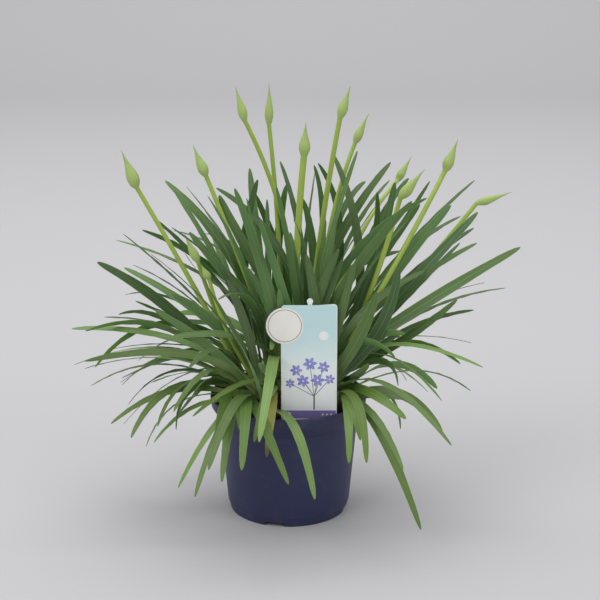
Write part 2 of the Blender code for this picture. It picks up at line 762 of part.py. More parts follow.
def leaf_bend(root, way, tip, depth):
    """The middle point of a leaf's curve: it passes the way point, or arches over the rim."""
    if depth <= HANGING_DEPTH:
        return Vector((0.6 * root.x + 0.4 * tip.x, tip.y + 8.0 * MM, POT_HEIGHT + HANGING_RISE))
    before, after = (way - root).length, (tip - way).length
    t = min(0.78, max(0.3, before / (before + after)))
    return (way - root * ((1 - t) ** 2) - tip * (t * t)) / (2 * t * (1 - t))


def crosses_card(root, bend, tip):
    """Whether a leaf's curve would cut the label card."""
    curve = [bezier(root, bend, tip, i / 16) for i in range(17)]
    for at, ahead in zip(curve, curve[1:]):
        if min(at.y, ahead.y) <= CARD_DEPTH < max(at.y, ahead.y):
            beside = abs(at.x - CARD_CENTRE_X) > 0.5 * CARD_WIDTH + 5.0 * MM
            if not beside and CARD_FOOT - 4.0 * MM < at.z < CARD_FOOT + CARD_HEIGHT + 4.0 * MM:
                return True
    return False


def seen_leaf(number, row, spots, loads):
    """Plans of a leaf read from the front view, one for each shoot that it most simply grows from."""
    tip_spot, way_spot, depth, width, face = row
    tip = from_view(tip_spot, depth * MM)
    ways = []
    for shoot, (foot, axis, turn) in enumerate(spots):
        if loads[shoot] >= MOST_LEAVES - 1:
            continue
        toward = Vector((tip.x - foot.x, tip.y - foot.y, 0.0)).normalized()
        rise = 0.25 + 0.5 * max(0.0, (tip - foot).normalized().z)
        root = foot + axis * (rise * SHEATH_LENGTH) + toward * (2.5 * MM)
        way = from_view(way_spot, root.y + (depth * MM - root.y) * 0.55)
        bend = leaf_bend(root, way, tip, depth)
        turned = (way - root).angle(tip - way)
        cost = turned + 6.0 * (way - root).length + 0.02 * loads[shoot]
        if way.z < root.z:
            cost += 10.0 * (root.z - way.z)
        if crosses_card(root, bend, tip):
            cost += 3.0
        ways.append((cost, shoot, root, bend))
    return [
        {
            "name": f"seen_{number:02d}",
            "shoot": shoot,
            "root": root,
            "bend": bend,
            "tip": tip,
            "width": width * MM,
            "face": face,
            "twist": 0.0,
            "wander": 1.0,
        }
        for _, shoot, root, bend in sorted(ways, key=lambda found: found[:2])[:SHOOTS_TRIED]
    ]


def rule_leaf(shoot, number, spot, draw):
    """A leaf of a shoot's fan: ranks alternate, and rise from the outside in."""
    foot, axis, turn = spot
    rank = number // 2 % len(RANK_RISES)
    side = 1 if number % 2 else -1
    fan = Vector((math.cos(turn), math.sin(turn), 0.0)) * side
    outward = Vector((foot.x, foot.y, 0.0)) / SHOOT_CIRCLE
    heading = (fan + outward * 1.1).normalized()
    swing = Matrix.Rotation(math.radians(draw.uniform(-38, 38)), 3, "Z")
    heading = (swing @ heading).normalized()
    rise = math.radians(RANK_RISES[rank] + draw.uniform(-9, 9))
    length = RANK_LENGTHS[rank] * MM * draw.uniform(0.82, 1.14)
    chord = (heading * math.cos(rise) + Vector((0, 0, math.sin(rise)))) * length
    root = foot + axis * ((0.25 + 0.08 * rank) * SHEATH_LENGTH) + fan * (2.0 * MM)
    tip = root + chord
    upward = Vector((0.0, 0.0, 1.0))
    lift = (upward - chord.normalized() * upward.dot(chord.normalized())).normalized()
    bend = root + chord * 0.42 + lift * (2.0 * RANK_BOWS[rank] * length * draw.uniform(0.8, 1.3))
    return {
        "name": f"rule_{shoot:02d}_{number:02d}",
        "shoot": shoot,
        "root": root,
        "bend": bend,
        "tip": tip,
        "width": BLADE_WIDTH * draw.uniform(0.75, 1.1),
        "face": 0.0,
        "twist": RULE_TWIST * draw.uniform(-1.0, 1.0),
        "wander": 1.7,
    }


def tried(plan, attempt):
    """The plan of a leaf bent aside a little, further with each attempt."""
    draw = random.Random(f"{plan['name']} {attempt}")
    reach = 1.6 * MM * attempt**0.75 * plan["wander"]
    aside = Vector((draw.uniform(-0.4, 0.4), draw.uniform(-1.0, 1.0), draw.uniform(-0.35, 0.35))) * reach
    sway = Vector((draw.uniform(-0.6, 0.6), draw.uniform(-1.0, 1.0), draw.uniform(-0.3, 0.6))) * reach
    roll = math.radians(plan["twist"] + draw.uniform(-10, 10) * (1.0 + 0.06 * attempt) * plan["wander"])
    nudge = Vector((draw.uniform(-1, 1), draw.uniform(-1, 1), draw.uniform(-3, 3))) * (1.5 * MM)
    return (
        plan["root"] + (nudge if attempt else Vector()),
        plan["bend"] + (sway if attempt else Vector()),
        plan["tip"] + (aside if attempt else Vector()),
        plan["width"],
        plan["face"],
        roll,
    )


class Space:
    """What has grown so far, for telling whether a new blade is clear of it."""

    def __init__(self):
        self.solids = []

    def add(self, node, points, faces, outer_faces=None):
        whole = BVHTree.FromPolygons([tuple(p) for p in points], faces)
        outer = BVHTree.FromPolygons([tuple(p) for p in points], outer_faces) if outer_faces else None
        corners = [(min(p[i] for p in points), max(p[i] for p in points)) for i in range(3)]
        self.solids.append((node, whole, outer, corners))

    def is_clear(self, node, points, faces, outer_faces, passed=()):
        """The whole blade against other nodes, and its outer part against the outer parts of its own."""
        whole = BVHTree.FromPolygons([tuple(p) for p in points], faces)
        outer = BVHTree.FromPolygons([tuple(p) for p in points], outer_faces)
        low = [min(p[i] for p in points) for i in range(3)]
        high = [max(p[i] for p in points) for i in range(3)]
        for other, solid, solid_outer, corners in self.solids:
            if any(high[i] < corners[i][0] or low[i] > corners[i][1] for i in range(3)):
                continue
            if other in passed:
                continue
            if other != node:
                if whole.overlap(solid):
                    return False
            elif solid_outer and outer.overlap(solid_outer):
                return False
        return True


def outer_faces(faces, first_station=1):
    """The faces of a blade beyond its sheath."""
    return [f for f in faces if min(f) >= 4 * first_station]


def grow_leaf(plan, space):
    """The first clear try of a leaf, or None where it finds no room."""
    node = f"shoot_{plan['shoot'] + 1:02d}"
    for attempt in range(ATTEMPTS):
        leaf = tried(plan, attempt)
        points, faces = blade_mesh(leaf, CLEARANCE)
        if min(p.z for p in points) < LOWEST_LEAF:
            continue
        if space.is_clear(node, points, faces, outer_faces(faces)):
            points, faces = blade_mesh(leaf)
            space.add(node, points, faces, outer_faces(faces))
            return leaf
    return None


# Scapes


def scape_curve(row, spots, used, deeper, aside):
    """Foot, bend and bud of a scape, standing beside the shoot nearest below it."""
    tip_spot, foot_spot, way_spot, depth, stem, bud = row
    depth += deeper / MM
    tip = from_view(tip_spot, depth * MM)
    bud_foot = from_view(foot_spot, depth * MM * 0.95)
    best = None
    for shoot, (foot, axis, turn) in enumerate(spots):
        if shoot in used:
            continue
        beside = Vector((-math.sin(turn), math.cos(turn), 0.0))
        if beside.dot(Vector((-foot.x, -foot.y, 0.0))) < 0.0:
            beside = -beside
        start = foot + beside * (SHEATH_HALF_THICKNESS + stem * MM + 2.2 * MM) + aside
        way = from_view(way_spot, start.y + (depth * MM - start.y) * 0.5)
        cost = (way - start).angle(bud_foot - way) + 4.0 * abs(way.x - start.x)
        if best is None or cost < best[0]:
            best = (cost, shoot, start, way)
    _, shoot, start, way = best
    start.z = soil_height(start.x, start.y) + SCAPE_COLLAR
    before, after = (way - start).length, (bud_foot - way).length
    t = min(0.8, max(0.2, before / (before + after)))
    bend = (way - start * ((1 - t) ** 2) - bud_foot * (t * t)) / (2 * t * (1 - t))
    return shoot, (start, bend, bud_foot, tip, stem * MM, bud * MM)


def scape_mesh(curve, sides, stem_steps=4, grow=0.0):
    """The round stem and the pointed, slightly flattened bud, as one loft."""
    start, bend, bud_foot, tip, stem, bud = curve
    across = Vector((1.0, 0.0, 0.0))
    rings = [ring(start - Vector((0, 0, SCAPE_DEPTH)), across, Vector((0, 1, 0)), stem, stem, sides)]
    for k in range(stem_steps + 1):
        t = k / stem_steps
        at = bezier(start, bend, bud_foot, t)
        slope = bezier_slope(start, bend, bud_foot, t)
        side = (across - slope * across.dot(slope)).normalized()
        radius = stem * (1.12 - 0.24 * t) + grow
        rings.append(ring(at, side, slope.cross(side), radius, radius, sides))
    heading = (tip - bud_foot).normalized()
    length = (tip - bud_foot).length
    side = (across - heading * across.dot(heading)).normalized()
    deep = heading.cross(side)
    for share, width in ((0.12, 0.86), (0.24, 1.0), (0.42, 0.82), (0.66, 0.4), (0.86, 0.14)):
        centre = bud_foot + heading * (length * share)
        rings.append(ring(centre, side, deep, bud * width + grow, 0.85 * bud * width + grow, sides))
    return loft(rings, tip + heading * grow)


def grow_scape(name, row, spots, used, space):
    """The first clear try of a scape, leaned a little further back or forward each time."""
    draw = random.Random(name)
    for attempt in range(ATTEMPTS):
        deeper = draw.uniform(-1.0, 1.0) * 2.2 * MM * attempt
        aside = Vector((draw.uniform(-1.0, 1.0), draw.uniform(-1.0, 1.0), 0.0)) * 0.5 * MM * attempt
        shoot, curve = scape_curve(row, spots, used, deeper, aside)
        points, faces = scape_mesh(curve, SCAPE_SIDES, grow=CLEARANCE + 0.3 * MM)
        if space.is_clear(name, points, faces, faces, ("soil",)):
            used.add(shoot)
            space.add(name, points, faces)
            return curve
    print("no room for", name)
    return None


# Assembly


def triangulated_box(obj):
    graph = bpy.context.evaluated_depsgraph_get()
    mesh = obj.evaluated_get(graph).to_mesh()
    points = [obj.matrix_world @ v.co for v in mesh.vertices]
    faces = [tuple(p.vertices) for p in mesh.polygons]
    return points, faces


def main():
    clear_scene()
    plant = new_collection("agapanthus")
    pot_cutters = new_collection("pot_cutters")
    soil_cutters = new_collection("soil_cutters")
    space = Space()
    spots = shoot_spots()

    pot = make_pot(plant, pot_cutters)
    soil = make_soil(plant, soil_cutters)
    card, stake = make_label(plant)
    bpy.context.view_layer.update()
    for obj in (pot, soil, card, stake):
        space.add(obj.name, *triangulated_box(obj))

    bpy.ops.mesh.primitive_cube_add(size=1.0, location=(STAKE_X, stake_y(), 0.1))
    slot = bpy.context.object
    slot.name = "stake_slot"
    slot.scale = (STAKE_WIDTH + 2 * FIT_GAP, STAKE_THICKNESS + 2 * FIT_GAP, 0.2)
    slot.location.z = soil_height(STAKE_X, CARD_DEPTH) - STAKE_DEPTH - FIT_GAP + 0.1
    as_cutter(slot, soil_cutters)

    sheaths = []
    for i, spot in enumerate(spots):
        points, faces = sheath_mesh(spot)
        name = f"shoot_{i + 1:02d}"
        sheaths.append(mesh_object(name, points, faces, "leaf", plant))
        space.add(name, points, faces)
        foot = spot[0]
        hole = Vector((foot.x, foot.y, foot.z - SHEATH_DEPTH - FIT_GAP + 0.05))
        round_cutter(
            name + "_hole",
            hole,
            (SHEATH_HALF_WIDTH + HOLE_MARGIN) / math.cos(math.pi / SHEATH_SIDES),
            0.1,
            SHEATH_SIDES,
            soil_cutters,
            squash=(SHEATH_HALF_THICKNESS + HOLE_MARGIN) / (SHEATH_HALF_WIDTH + HOLE_MARGIN),
            turn=spot[2],
        )

    used = set()
    for name, row in SCAPES.items():
        curve = grow_scape(name, row, spots, used, space)
        points, faces = scape_mesh(curve, SCAPE_SIDES)
        mesh_object(name, points, faces, "scape", plant)
        start, stem = curve[0], curve[4]
        hole = Vector((start.x, start.y, start.z - SCAPE_DEPTH - FIT_GAP + 0.05))
        radius = (stem * 1.12 + 1.2 * MM) / math.cos(math.pi / SCAPE_SIDES)
        round_cutter(name + "_hole", hole, radius, 0.1, SCAPE_SIDES, soil_cutters)

    space.add("label_sight", *label_sight())
    loads = [0] * SHOOTS
    grown = [[] for _ in spots]
    hanging_first = sorted(range(len(SEEN_LEAVES)), key=lambda n: SEEN_LEAVES[n][2] > HANGING_DEPTH)
    for number in hanging_first:
        for plan in seen_leaf(number, SEEN_LEAVES[number], spots, loads):
            leaf = grow_leaf(plan, space)
            if leaf:
                grown[plan["shoot"]].append(leaf)
                loads[plan["shoot"]] += 1
                break
        else:
            print("no room for seen leaf", number, SEEN_LEAVES[number])
    dropped = 0
    for i, spot in enumerate(spots):
        number = 0
        while len(grown[i]) < MOST_LEAVES and number < MOST_LEAVES + 6:
            plan = rule_leaf(i, number, spot, random.Random(f"leaf {i} {number}"))
            leaf = grow_leaf(plan, space)
            number += 1
            if leaf:
                grown[i].append(leaf)
            else:
                dropped += 1
    print("leaves", sum(len(g) for g in grown), "dropped", dropped)

    for i, leaves in enumerate(grown):
        blades = new_collection(f"blades_{i}")
        for k, leaf in enumerate(leaves):
            thicker = JOIN_STEP * JOIN_STEPS.get(i + 1, 0) * (1.0 + 0.1 * (k % 3))
            mesh_object(f"blade_{i}_{k}", *blade_mesh(leaf, thicker), "leaf", blades)
        sheaths[i].data = join_all(sheaths[i], blades)


main()
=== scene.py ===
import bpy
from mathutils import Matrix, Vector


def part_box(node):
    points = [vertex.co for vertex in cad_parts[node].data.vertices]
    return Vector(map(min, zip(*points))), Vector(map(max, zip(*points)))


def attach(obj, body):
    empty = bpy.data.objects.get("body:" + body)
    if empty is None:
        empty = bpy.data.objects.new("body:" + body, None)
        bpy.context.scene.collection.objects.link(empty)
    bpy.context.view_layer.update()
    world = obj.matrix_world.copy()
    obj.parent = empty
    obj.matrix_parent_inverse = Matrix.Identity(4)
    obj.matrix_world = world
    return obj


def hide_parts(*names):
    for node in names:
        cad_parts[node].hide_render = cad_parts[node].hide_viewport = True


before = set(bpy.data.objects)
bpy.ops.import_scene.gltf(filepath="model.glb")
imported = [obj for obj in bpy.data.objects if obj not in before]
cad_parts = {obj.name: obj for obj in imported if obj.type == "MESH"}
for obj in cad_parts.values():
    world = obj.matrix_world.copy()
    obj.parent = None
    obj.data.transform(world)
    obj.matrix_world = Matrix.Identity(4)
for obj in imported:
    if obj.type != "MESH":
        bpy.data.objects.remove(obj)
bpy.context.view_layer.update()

import math
import random

import bmesh
import bpy
from mathutils import Matrix, Vector, noise
from mathutils.kdtree import KDTree

bl_info = {
    "name": "Potted agapanthus",
    "version": (1, 0, 0),
    "blender": (4, 5, 0),
    "location": "3D View > Sidebar > Agapanthus",
    "description": "Dresses the packed agapanthus: leaves, scapes, soil, nursery pot and plant label",
    "category": "Object",
}

MM = 0.001

# The pot and its soil, in the solids' sizes
RIM_RADIUS = 95.0 * MM
POT_HEIGHT = 145.0 * MM
COLLAR_HEIGHT = 25.0 * MM
COLLAR_FOOT_RADIUS = 87.0 * MM
BODY_TOP_RADIUS = 84.6 * MM
BODY_FOOT_RADIUS = 74.6 * MM
FOOT_BAND = 11.0 * MM
WALL = 1.8 * MM
COLLAR_FOOT = POT_HEIGHT - COLLAR_HEIGHT
COLLAR_INSIDE = (
    (COLLAR_FOOT_RADIUS - WALL - 0.4 * MM, COLLAR_FOOT + 0.6 * MM),
    (RIM_RADIUS - WALL - 0.6 * MM, POT_HEIGHT - 0.5 * COLLAR_HEIGHT),
)
BASE_LIFT = 5.5 * MM
BASE_PAD_RADIUS = 26.0 * MM
DRAIN_GATES = 4
DRAIN_GATE_WIDTH = 24.0 * MM
DRAIN_GATE_HEIGHT = 5.0 * MM
DRAIN_GATE_TURN = math.radians(-103.0)
DRAIN_HOLES = 8
DRAIN_HOLE_RADIUS = 5.0 * MM
DRAIN_HOLE_CIRCLE = 52.0 * MM
SOIL_EDGE_HEIGHT = 127.0 * MM
SOIL_CROWN_HEIGHT = 134.0 * MM
SOIL_LUMP = 2.2 * MM
SOIL_ROUGHNESS = 1.1 * MM

# Shoots, leaves and scapes, grown by the same rule as the solids; HANGING_DEPTH is in mm
SHOOTS = 17
SHOOT_CIRCLE = 68.0 * MM
SHEATH_LENGTH = 46.0 * MM
SHEATH_DEPTH = 16.0 * MM
SHEATH_HALF_WIDTH = 8.0 * MM
SHEATH_HALF_THICKNESS = 5.5 * MM
SHEATH_LEAN = math.radians(20.0)
GOLDEN_TURN = math.pi * (3.0 - math.sqrt(5.0))
MOST_LEAVES = 10
RULE_LEAVES = MOST_LEAVES + 6
BLADE_THICKNESS = 0.9 * MM
BLADE_WIDTH = 12.0 * MM
BLADE_STATIONS = (0.0, 0.2, 0.44, 0.68, 0.89, 1.0)
BLADE_SHARES = (0.6, 0.84, 1.0, 0.97, 0.66, 0.0)
BLADE_FOLD = 0.10
TIP_START, TIP_SHARE = BLADE_STATIONS[-2], BLADE_SHARES[-2]
HANGING_DEPTH = -105
HANGING_RISE = 50.0 * MM
SIGN_STATION = 0.4
ATTEMPTS = 64
SHOOTS_TRIED = 6
FIRST_REACH = 1.6 * MM
ROOT_NUDGE = 1.5 * MM
SCAPE_DEPTH = 18.0 * MM
SCAPE_COLLAR = 5.0 * MM

# The label card, which faces the front
CARD_WIDTH = 65.0 * MM
CARD_HEIGHT = 142.0 * MM
CARD_CORNER = 4.0 * MM
CARD_CENTRE_X = 24.5 * MM
CARD_DEPTH = -69.0 * MM
BEHIND_CARD = 24.0 * MM
CARD_FOOT = 135.0 * MM
BESIDE_CARD = 5.0 * MM
PAST_CARD = 4.0 * MM
BADGE_RADIUS = 22.0 * MM
BADGE_X = -28.0 * MM
BADGE_Z = 116.0 * MM
BADGE_RING = (19.6 * MM, 18.8 * MM)

# The camera that the leaves were read through: a picture 600 pixels square
EYE = Vector((14.0 * MM, -1750.0 * MM, 764.0 * MM))
EYE_PITCH = math.radians(16.0)
EYE_LENS = 1524.0
PICTURE_CENTRE = 300.0
SENSOR_WIDTH = 36.0

# How near to a corner of its solid a found leaf's tip lies
FOUND_WITHIN = 0.12 * MM

# How far red, green and blue light scatter inside a leaf
LEAF_SCATTER = (0.35, 1.0, 0.15)

# Each scape: its tip, its bud's foot and a point on its stem in the picture, then the depth of the tip,
# the stem's radius and the bud's radius in mm
SCAPES = {
    "scape_01": ((121, 150), (137, 188), (180, 262), -10, 3.0, 7.5),
    "scape_02": ((193, 145), (206, 176), (232, 240), 5, 3.0, 6.4),
    "scape_03": ((235, 86), (245, 121), (279, 205), 35, 3.0, 5.6),
    "scape_04": ((269, 82), (269, 125), (276, 200), 60, 2.9, 5.2),
    "scape_05": ((306, 122), (304, 156), (299, 215), -20, 4.2, 6.8),
    "scape_06": ((351, 85), (340, 118), (321, 232), 5, 3.3, 6.0),
    "scape_07": ((369, 113), (355, 143), (333, 215), 30, 2.8, 5.4),
    "scape_08": ((412, 156), (397, 181), (366, 225), 70, 2.7, 5.2),
    "scape_09": ((425, 169), (400, 199), (379, 268), -25, 3.2, 6.8),
    "scape_10": ((458, 139), (445, 171), (414, 230), 40, 3.2, 6.6),
    "scape_11": ((512, 192), (476, 204), (425, 265), 0, 3.0, 5.4),
    "scape_12": ((184, 233), (198, 262), (212, 302), -55, 2.7, 5.4),
    "scape_13": ((201, 264), (209, 279), (219, 311), -40, 2.5, 4.6),
}

# Each leaf seen from the front: its tip and a point on its way in the picture, the depth of its tip and
# its width in mm, and how far it faces the front, from 0 (lying level) to 1 (square to the eye)
SEEN_LEAVES = (
    ((97, 262), (140, 287), -10, 13, 0.75),
    ((133, 265), (163, 280), 25, 8, 0.1),
    ((123, 234), (160, 265), 30, 8, 0.0),
    ((125, 295), (150, 293), 15, 7, 0.0),
    ((136, 303), (171, 318), 0, 8, 0.0),
    ((116, 315), (140, 311), -25, 9, 0.3),
    ((85, 331), (127, 322), -15, 11, 0.45),
    ((96, 365), (138, 332), -45, 10, 0.4),
    ((112, 349), (163, 344), 10, 8, 0.0),
    ((138, 360), (168, 341), 30, 7, 0.0),
    ((122, 385), (158, 361), -60, 9, 0.35),
    ((91, 386), (136, 367), 0, 7, 0.0),
    ((128, 405), (162, 375), -50, 9, 0.3),
    ((131, 438), (165, 393), -80, 11, 0.5),
    ((146, 447), (170, 409), -70, 8, 0.1),
    ((176, 430), (188, 393), -95, 10, 0.4),
    ((164, 426), (174, 388), -60, 9, 0.2),
    ((198, 408), (210, 388), -85, 9, 0.3),
    ((178, 488), (222, 427), -118, 8, 0.2),
    ((216, 439), (229, 402), -112, 11, 0.7),
    ((240, 430), (242, 405), -118, 7, 0.6),
    ((259, 440), (270, 412), -122, 9, 0.6),
    ((269, 456), (275, 418), -126, 11, 0.7),
    ((260, 404), (255, 380), -105, 12, 0.7),
    ((172, 294), (205, 315), -75, 12, 0.8),
    ((155, 310), (190, 333), -85, 12, 0.6),
    ((201, 354), (240, 356), -95, 10, 0.5),
    ((258, 365), (272, 372), -108, 11, 0.7),
    ((271, 350), (276, 338), -88, 10, 0.7),
    ((142, 230), (180, 247), 40, 10, 0.4),
    ((156, 213), (180, 240), 55, 9, 0.3),
    ((174, 227), (212, 243), 30, 9, 0.2),
    ((186, 230), (212, 260), 0, 13, 0.7),
    ((198, 234), (222, 238), 45, 8, 0.2),
    ((213, 185), (247, 211), 50, 10, 0.6),
    ((219, 195), (232, 222), 10, 12, 0.8),
    ((256, 177), (246, 220), 20, 12, 0.9),
    ((253, 191), (267, 222), 60, 10, 0.7),
    ((267, 199), (268, 240), -25, 8, 0.5),
    ((280, 161), (291, 195), 60, 8, 0.5),
    ((286, 185), (281, 215), 50, 11, 0.8),
    ((314, 165), (321, 195), 75, 9, 0.6),
    ((318, 163), (334, 195), 45, 10, 0.6),
    ((303, 200), (309, 225), 40, 11, 0.8),
    ((335, 156), (354, 205), 15, 11, 0.8),
    ((362, 180), (345, 200), 75, 10, 0.5),
    ((391, 162), (362, 200), 40, 12, 0.7),
    ((384, 181), (378, 220), 25, 10, 0.8),
    ((390, 180), (368, 207), 95, 8, 0.2),
    ((395, 182), (387, 218), 0, 12, 0.8),
    ((409, 178), (392, 200), 55, 10, 0.5),
    ((427, 195), (390, 225), -35, 11, 0.7),
    ((430, 181), (408, 215), 85, 7, 0.1),
    ((420, 204), (402, 228), 5, 11, 0.7),
    ((451, 205), (416, 245), -10, 14, 0.9),
    ((475, 180), (438, 214), 55, 8, 0.2),
    ((478, 212), (444, 248), 10, 13, 0.7),
    ((460, 216), (430, 232), 80, 8, 0.1),
    ((474, 228), (442, 250), 50, 10, 0.3),
    ((457, 243), (428, 270), -5, 9, 0.1),
    ((477, 243), (436, 266), 20, 10, 0.4),
    ((520, 245), (450, 284), -20, 13, 0.7),
    ((506, 288), (452, 300), 30, 9, 0.15),
    ((474, 310), (425, 322), -20, 10, 0.4),
    ((457, 300), (412, 335), -40, 12, 0.5),
    ((472, 343), (425, 336), 40, 6, 0.1),
    ((463, 373), (422, 349), -45, 11, 0.5),
    ((528, 376), (450, 359), -35, 11, 0.45),
    ((470, 416), (430, 377), -75, 10, 0.5),
    ((445, 433), (404, 394), -95, 12, 0.6),
    ((420, 398), (390, 394), -90, 10, 0.4),
    ((406, 419), (378, 396), -112, 11, 0.6),
    ((421, 530), (400, 432), -148, 11, 0.5),
    ((402, 432), (394, 402), -70, 7, 0.2),
    ((397, 387), (389, 366), -80, 8, 0.4),
    ((405, 383), (393, 368), -50, 7, 0.1),
    ((396, 357), (372, 343), -100, 10, 0.5),
    ((369, 364), (357, 346), -112, 9, 0.6),
    ((401, 334), (378, 338), -95, 11, 0.5),
    ((287, 482), (280, 415), -136, 11, 0.6),
    ((346, 458), (368, 408), -124, 11, 0.7),
    ((360, 440), (378, 402), -118, 9, 0.6),
    ((306, 254), (313, 290), -62, 12, 0.9),
    ((339, 249), (325, 280), -58, 11, 0.9),
    ((344, 259), (332, 285), -50, 10, 0.7),
    ((377, 292), (365, 325), -85, 14, 0.9),
    ((399, 268), (389, 310), -65, 14, 0.9),
    ((279, 289), (281, 310), -70, 10, 0.8),
    ((240, 262), (255, 300), -45, 11, 0.7),
    ((228, 279), (240, 310), -60, 11, 0.7),
    ((290, 232), (296, 270), -40, 10, 0.7),
    ((355, 262), (345, 300), -75, 10, 0.7),
    ((335, 215), (330, 255), -15, 10, 0.6),
)

# The faded leaf near the middle of the front rim
FADED_LEAVES = ("seen_22",)

# Leaves grown by rule, for each rank of a shoot from the outside in: rise of the chord in degrees, length
# in mm, and bow as a share of the length; RULE_TWIST is the most that one twists, in degrees
RANK_RISES = (-14.0, 4.0, 22.0, 38.0, 54.0, 70.0)
RANK_LENGTHS = (166.0, 196.0, 220.0, 240.0, 256.0, 256.0)
RANK_BOWS = (0.20, 0.18, 0.14, 0.11, 0.08, 0.05)
RULE_TWIST = 38.0

# How far leaves grown by rule swing aside and rise or sink, in degrees
RULE_SWING = 38.0
RULE_SINK = 9.0

# The part of a curve in which its way point may lie
LEAF_WAY = (0.3, 0.78)
SCAPE_WAY = (0.2, 0.8)

# What a leaf or scape weighs as it chooses its shoot, beside the angle it would turn by: each metre to the
# way point, each leaf that the shoot has, each metre below the root, crossing the card, each metre aside
WAY_COST = 6.0
LOAD_COST = 0.02
DIP_COST = 10.0
CARD_COST = 3.0
ASIDE_COST = 4.0

# Stations along a bud; its widths there are in add_scape
BUD_STATIONS = (0.0, 0.1, 0.22, 0.34, 0.5, 0.68, 0.86, 1.0)
LAST_BUD_RING = 0.985

# The printed blossoms: place on the card and size in mm
BLOSSOMS = (
    (-15, 62, 7.5),
    (1, 70, 8.5),
    (17, 66, 7.5),
    (-7, 49, 8.0),
    (10, 50, 8.5),
    (24, 51, 6.5),
    (-22, 46, 6.0),
)

# Each soft light: place, the point it aims at, size, and its share of the key light's power
LIGHTS = (
    ("key_light", (-1.5, -1.3, 2.1), (0.0, 0.0, 0.25), (1.6, 1.6), 1.0),
    ("fill_light", (1.9, -1.5, 1.3), (0.0, 0.0, 0.3), (1.5, 1.5), 0.45),
    ("top_light", (0.0, 0.4, 2.4), (0.0, 0.0, 0.2), (2.0, 1.6), 0.6),
    ("backdrop_light", (0.0, 1.5, 3.6), (0.0, 4.4, 0.6), (5.0, 1.4), 3.2),
)


# Settings that a user would change


def colour_setting(name, description, default):
    return bpy.props.FloatVectorProperty(
        name=name, description=description, default=default, subtype="COLOR", size=3, min=0.0, max=1.0
    )


def count_setting(name, description, default, low, high):
    return bpy.props.IntProperty(name=name, description=description, default=default, min=low, max=high)


class LeafSettings(bpy.types.PropertyGroup):
    along: count_setting("Steps along", "Steps along each blade", 20, 6, 60)
    across: count_setting("Steps across", "Steps across each blade", 6, 4, 16)
    ripple: bpy.props.FloatProperty(
        name="Margin ripple",
        description="How far a blade's margin waves up and down",
        default=0.35 * MM,
        min=0.0,
        max=2.0 * MM,
        unit="LENGTH",
        precision=5,
    )
    deep_green: colour_setting("Deep green", "Colour of the upper, older blades", (0.050, 0.092, 0.036))
    fresh_green: colour_setting("Fresh green", "Colour of the low and young blades", (0.135, 0.215, 0.042))
    sheath_pale: colour_setting("Sheath", "Colour of the wrapped leaf feet", (0.42, 0.50, 0.22))
    faded: colour_setting("Faded", "Colour of an ageing blade", (0.47, 0.46, 0.12))


class ScapeSettings(bpy.types.PropertyGroup):
    sides: count_setting("Sides", "Sides of a stem", 14, 6, 32)
    stem_green: colour_setting("Stem", "Colour of the stems", (0.330, 0.440, 0.070))
    bud_green: colour_setting("Bud", "Colour of the closed buds", (0.370, 0.470, 0.150))


class PotSettings(bpy.types.PropertyGroup):
    sides: count_setting("Sides", "Sides of the turned pot", 96, 24, 256)
    plastic: colour_setting("Plastic", "Colour of the pot", (0.017, 0.022, 0.072))
    peat: colour_setting("Peat", "Colour of the potting soil", (0.030, 0.020, 0.013))
    crumbs: count_setting("Crumbs", "Loose crumbs on the soil", 420, 0, 2000)


class LabelSettings(bpy.types.PropertyGroup):
    sky: colour_setting("Upper ground", "Upper colour of the printed ground", (0.50, 0.70, 0.72))
    blossom: colour_setting("Blossoms", "Colour of the printed blossoms", (0.16, 0.17, 0.52))
    band: colour_setting("Band", "Colour of the band along the foot", (0.16, 0.12, 0.36))
    ring: colour_setting("Badge ring", "Colour of the ring on the badge", (0.30, 0.16, 0.07))


class StageSettings(bpy.types.PropertyGroup):
    floor: colour_setting("Floor", "Colour of the floor and backdrop", (0.475, 0.468, 0.480))
    key_power: bpy.props.FloatProperty(
        name="Key light", description="Power of the large soft light", default=28.0, min=0.0, unit="POWER"
    )
    sky_strength: bpy.props.FloatProperty(
        name="Ambient light", description="Strength of the even light from all round", default=0.70, min=0.0
    )


SETTINGS = {
    "agapanthus_leaves": LeafSettings,
    "agapanthus_scapes": ScapeSettings,
    "agapanthus_pot": PotSettings,
    "agapanthus_label": LabelSettings,
    "agapanthus_stage": StageSettings,
}


# Small helpers for node materials


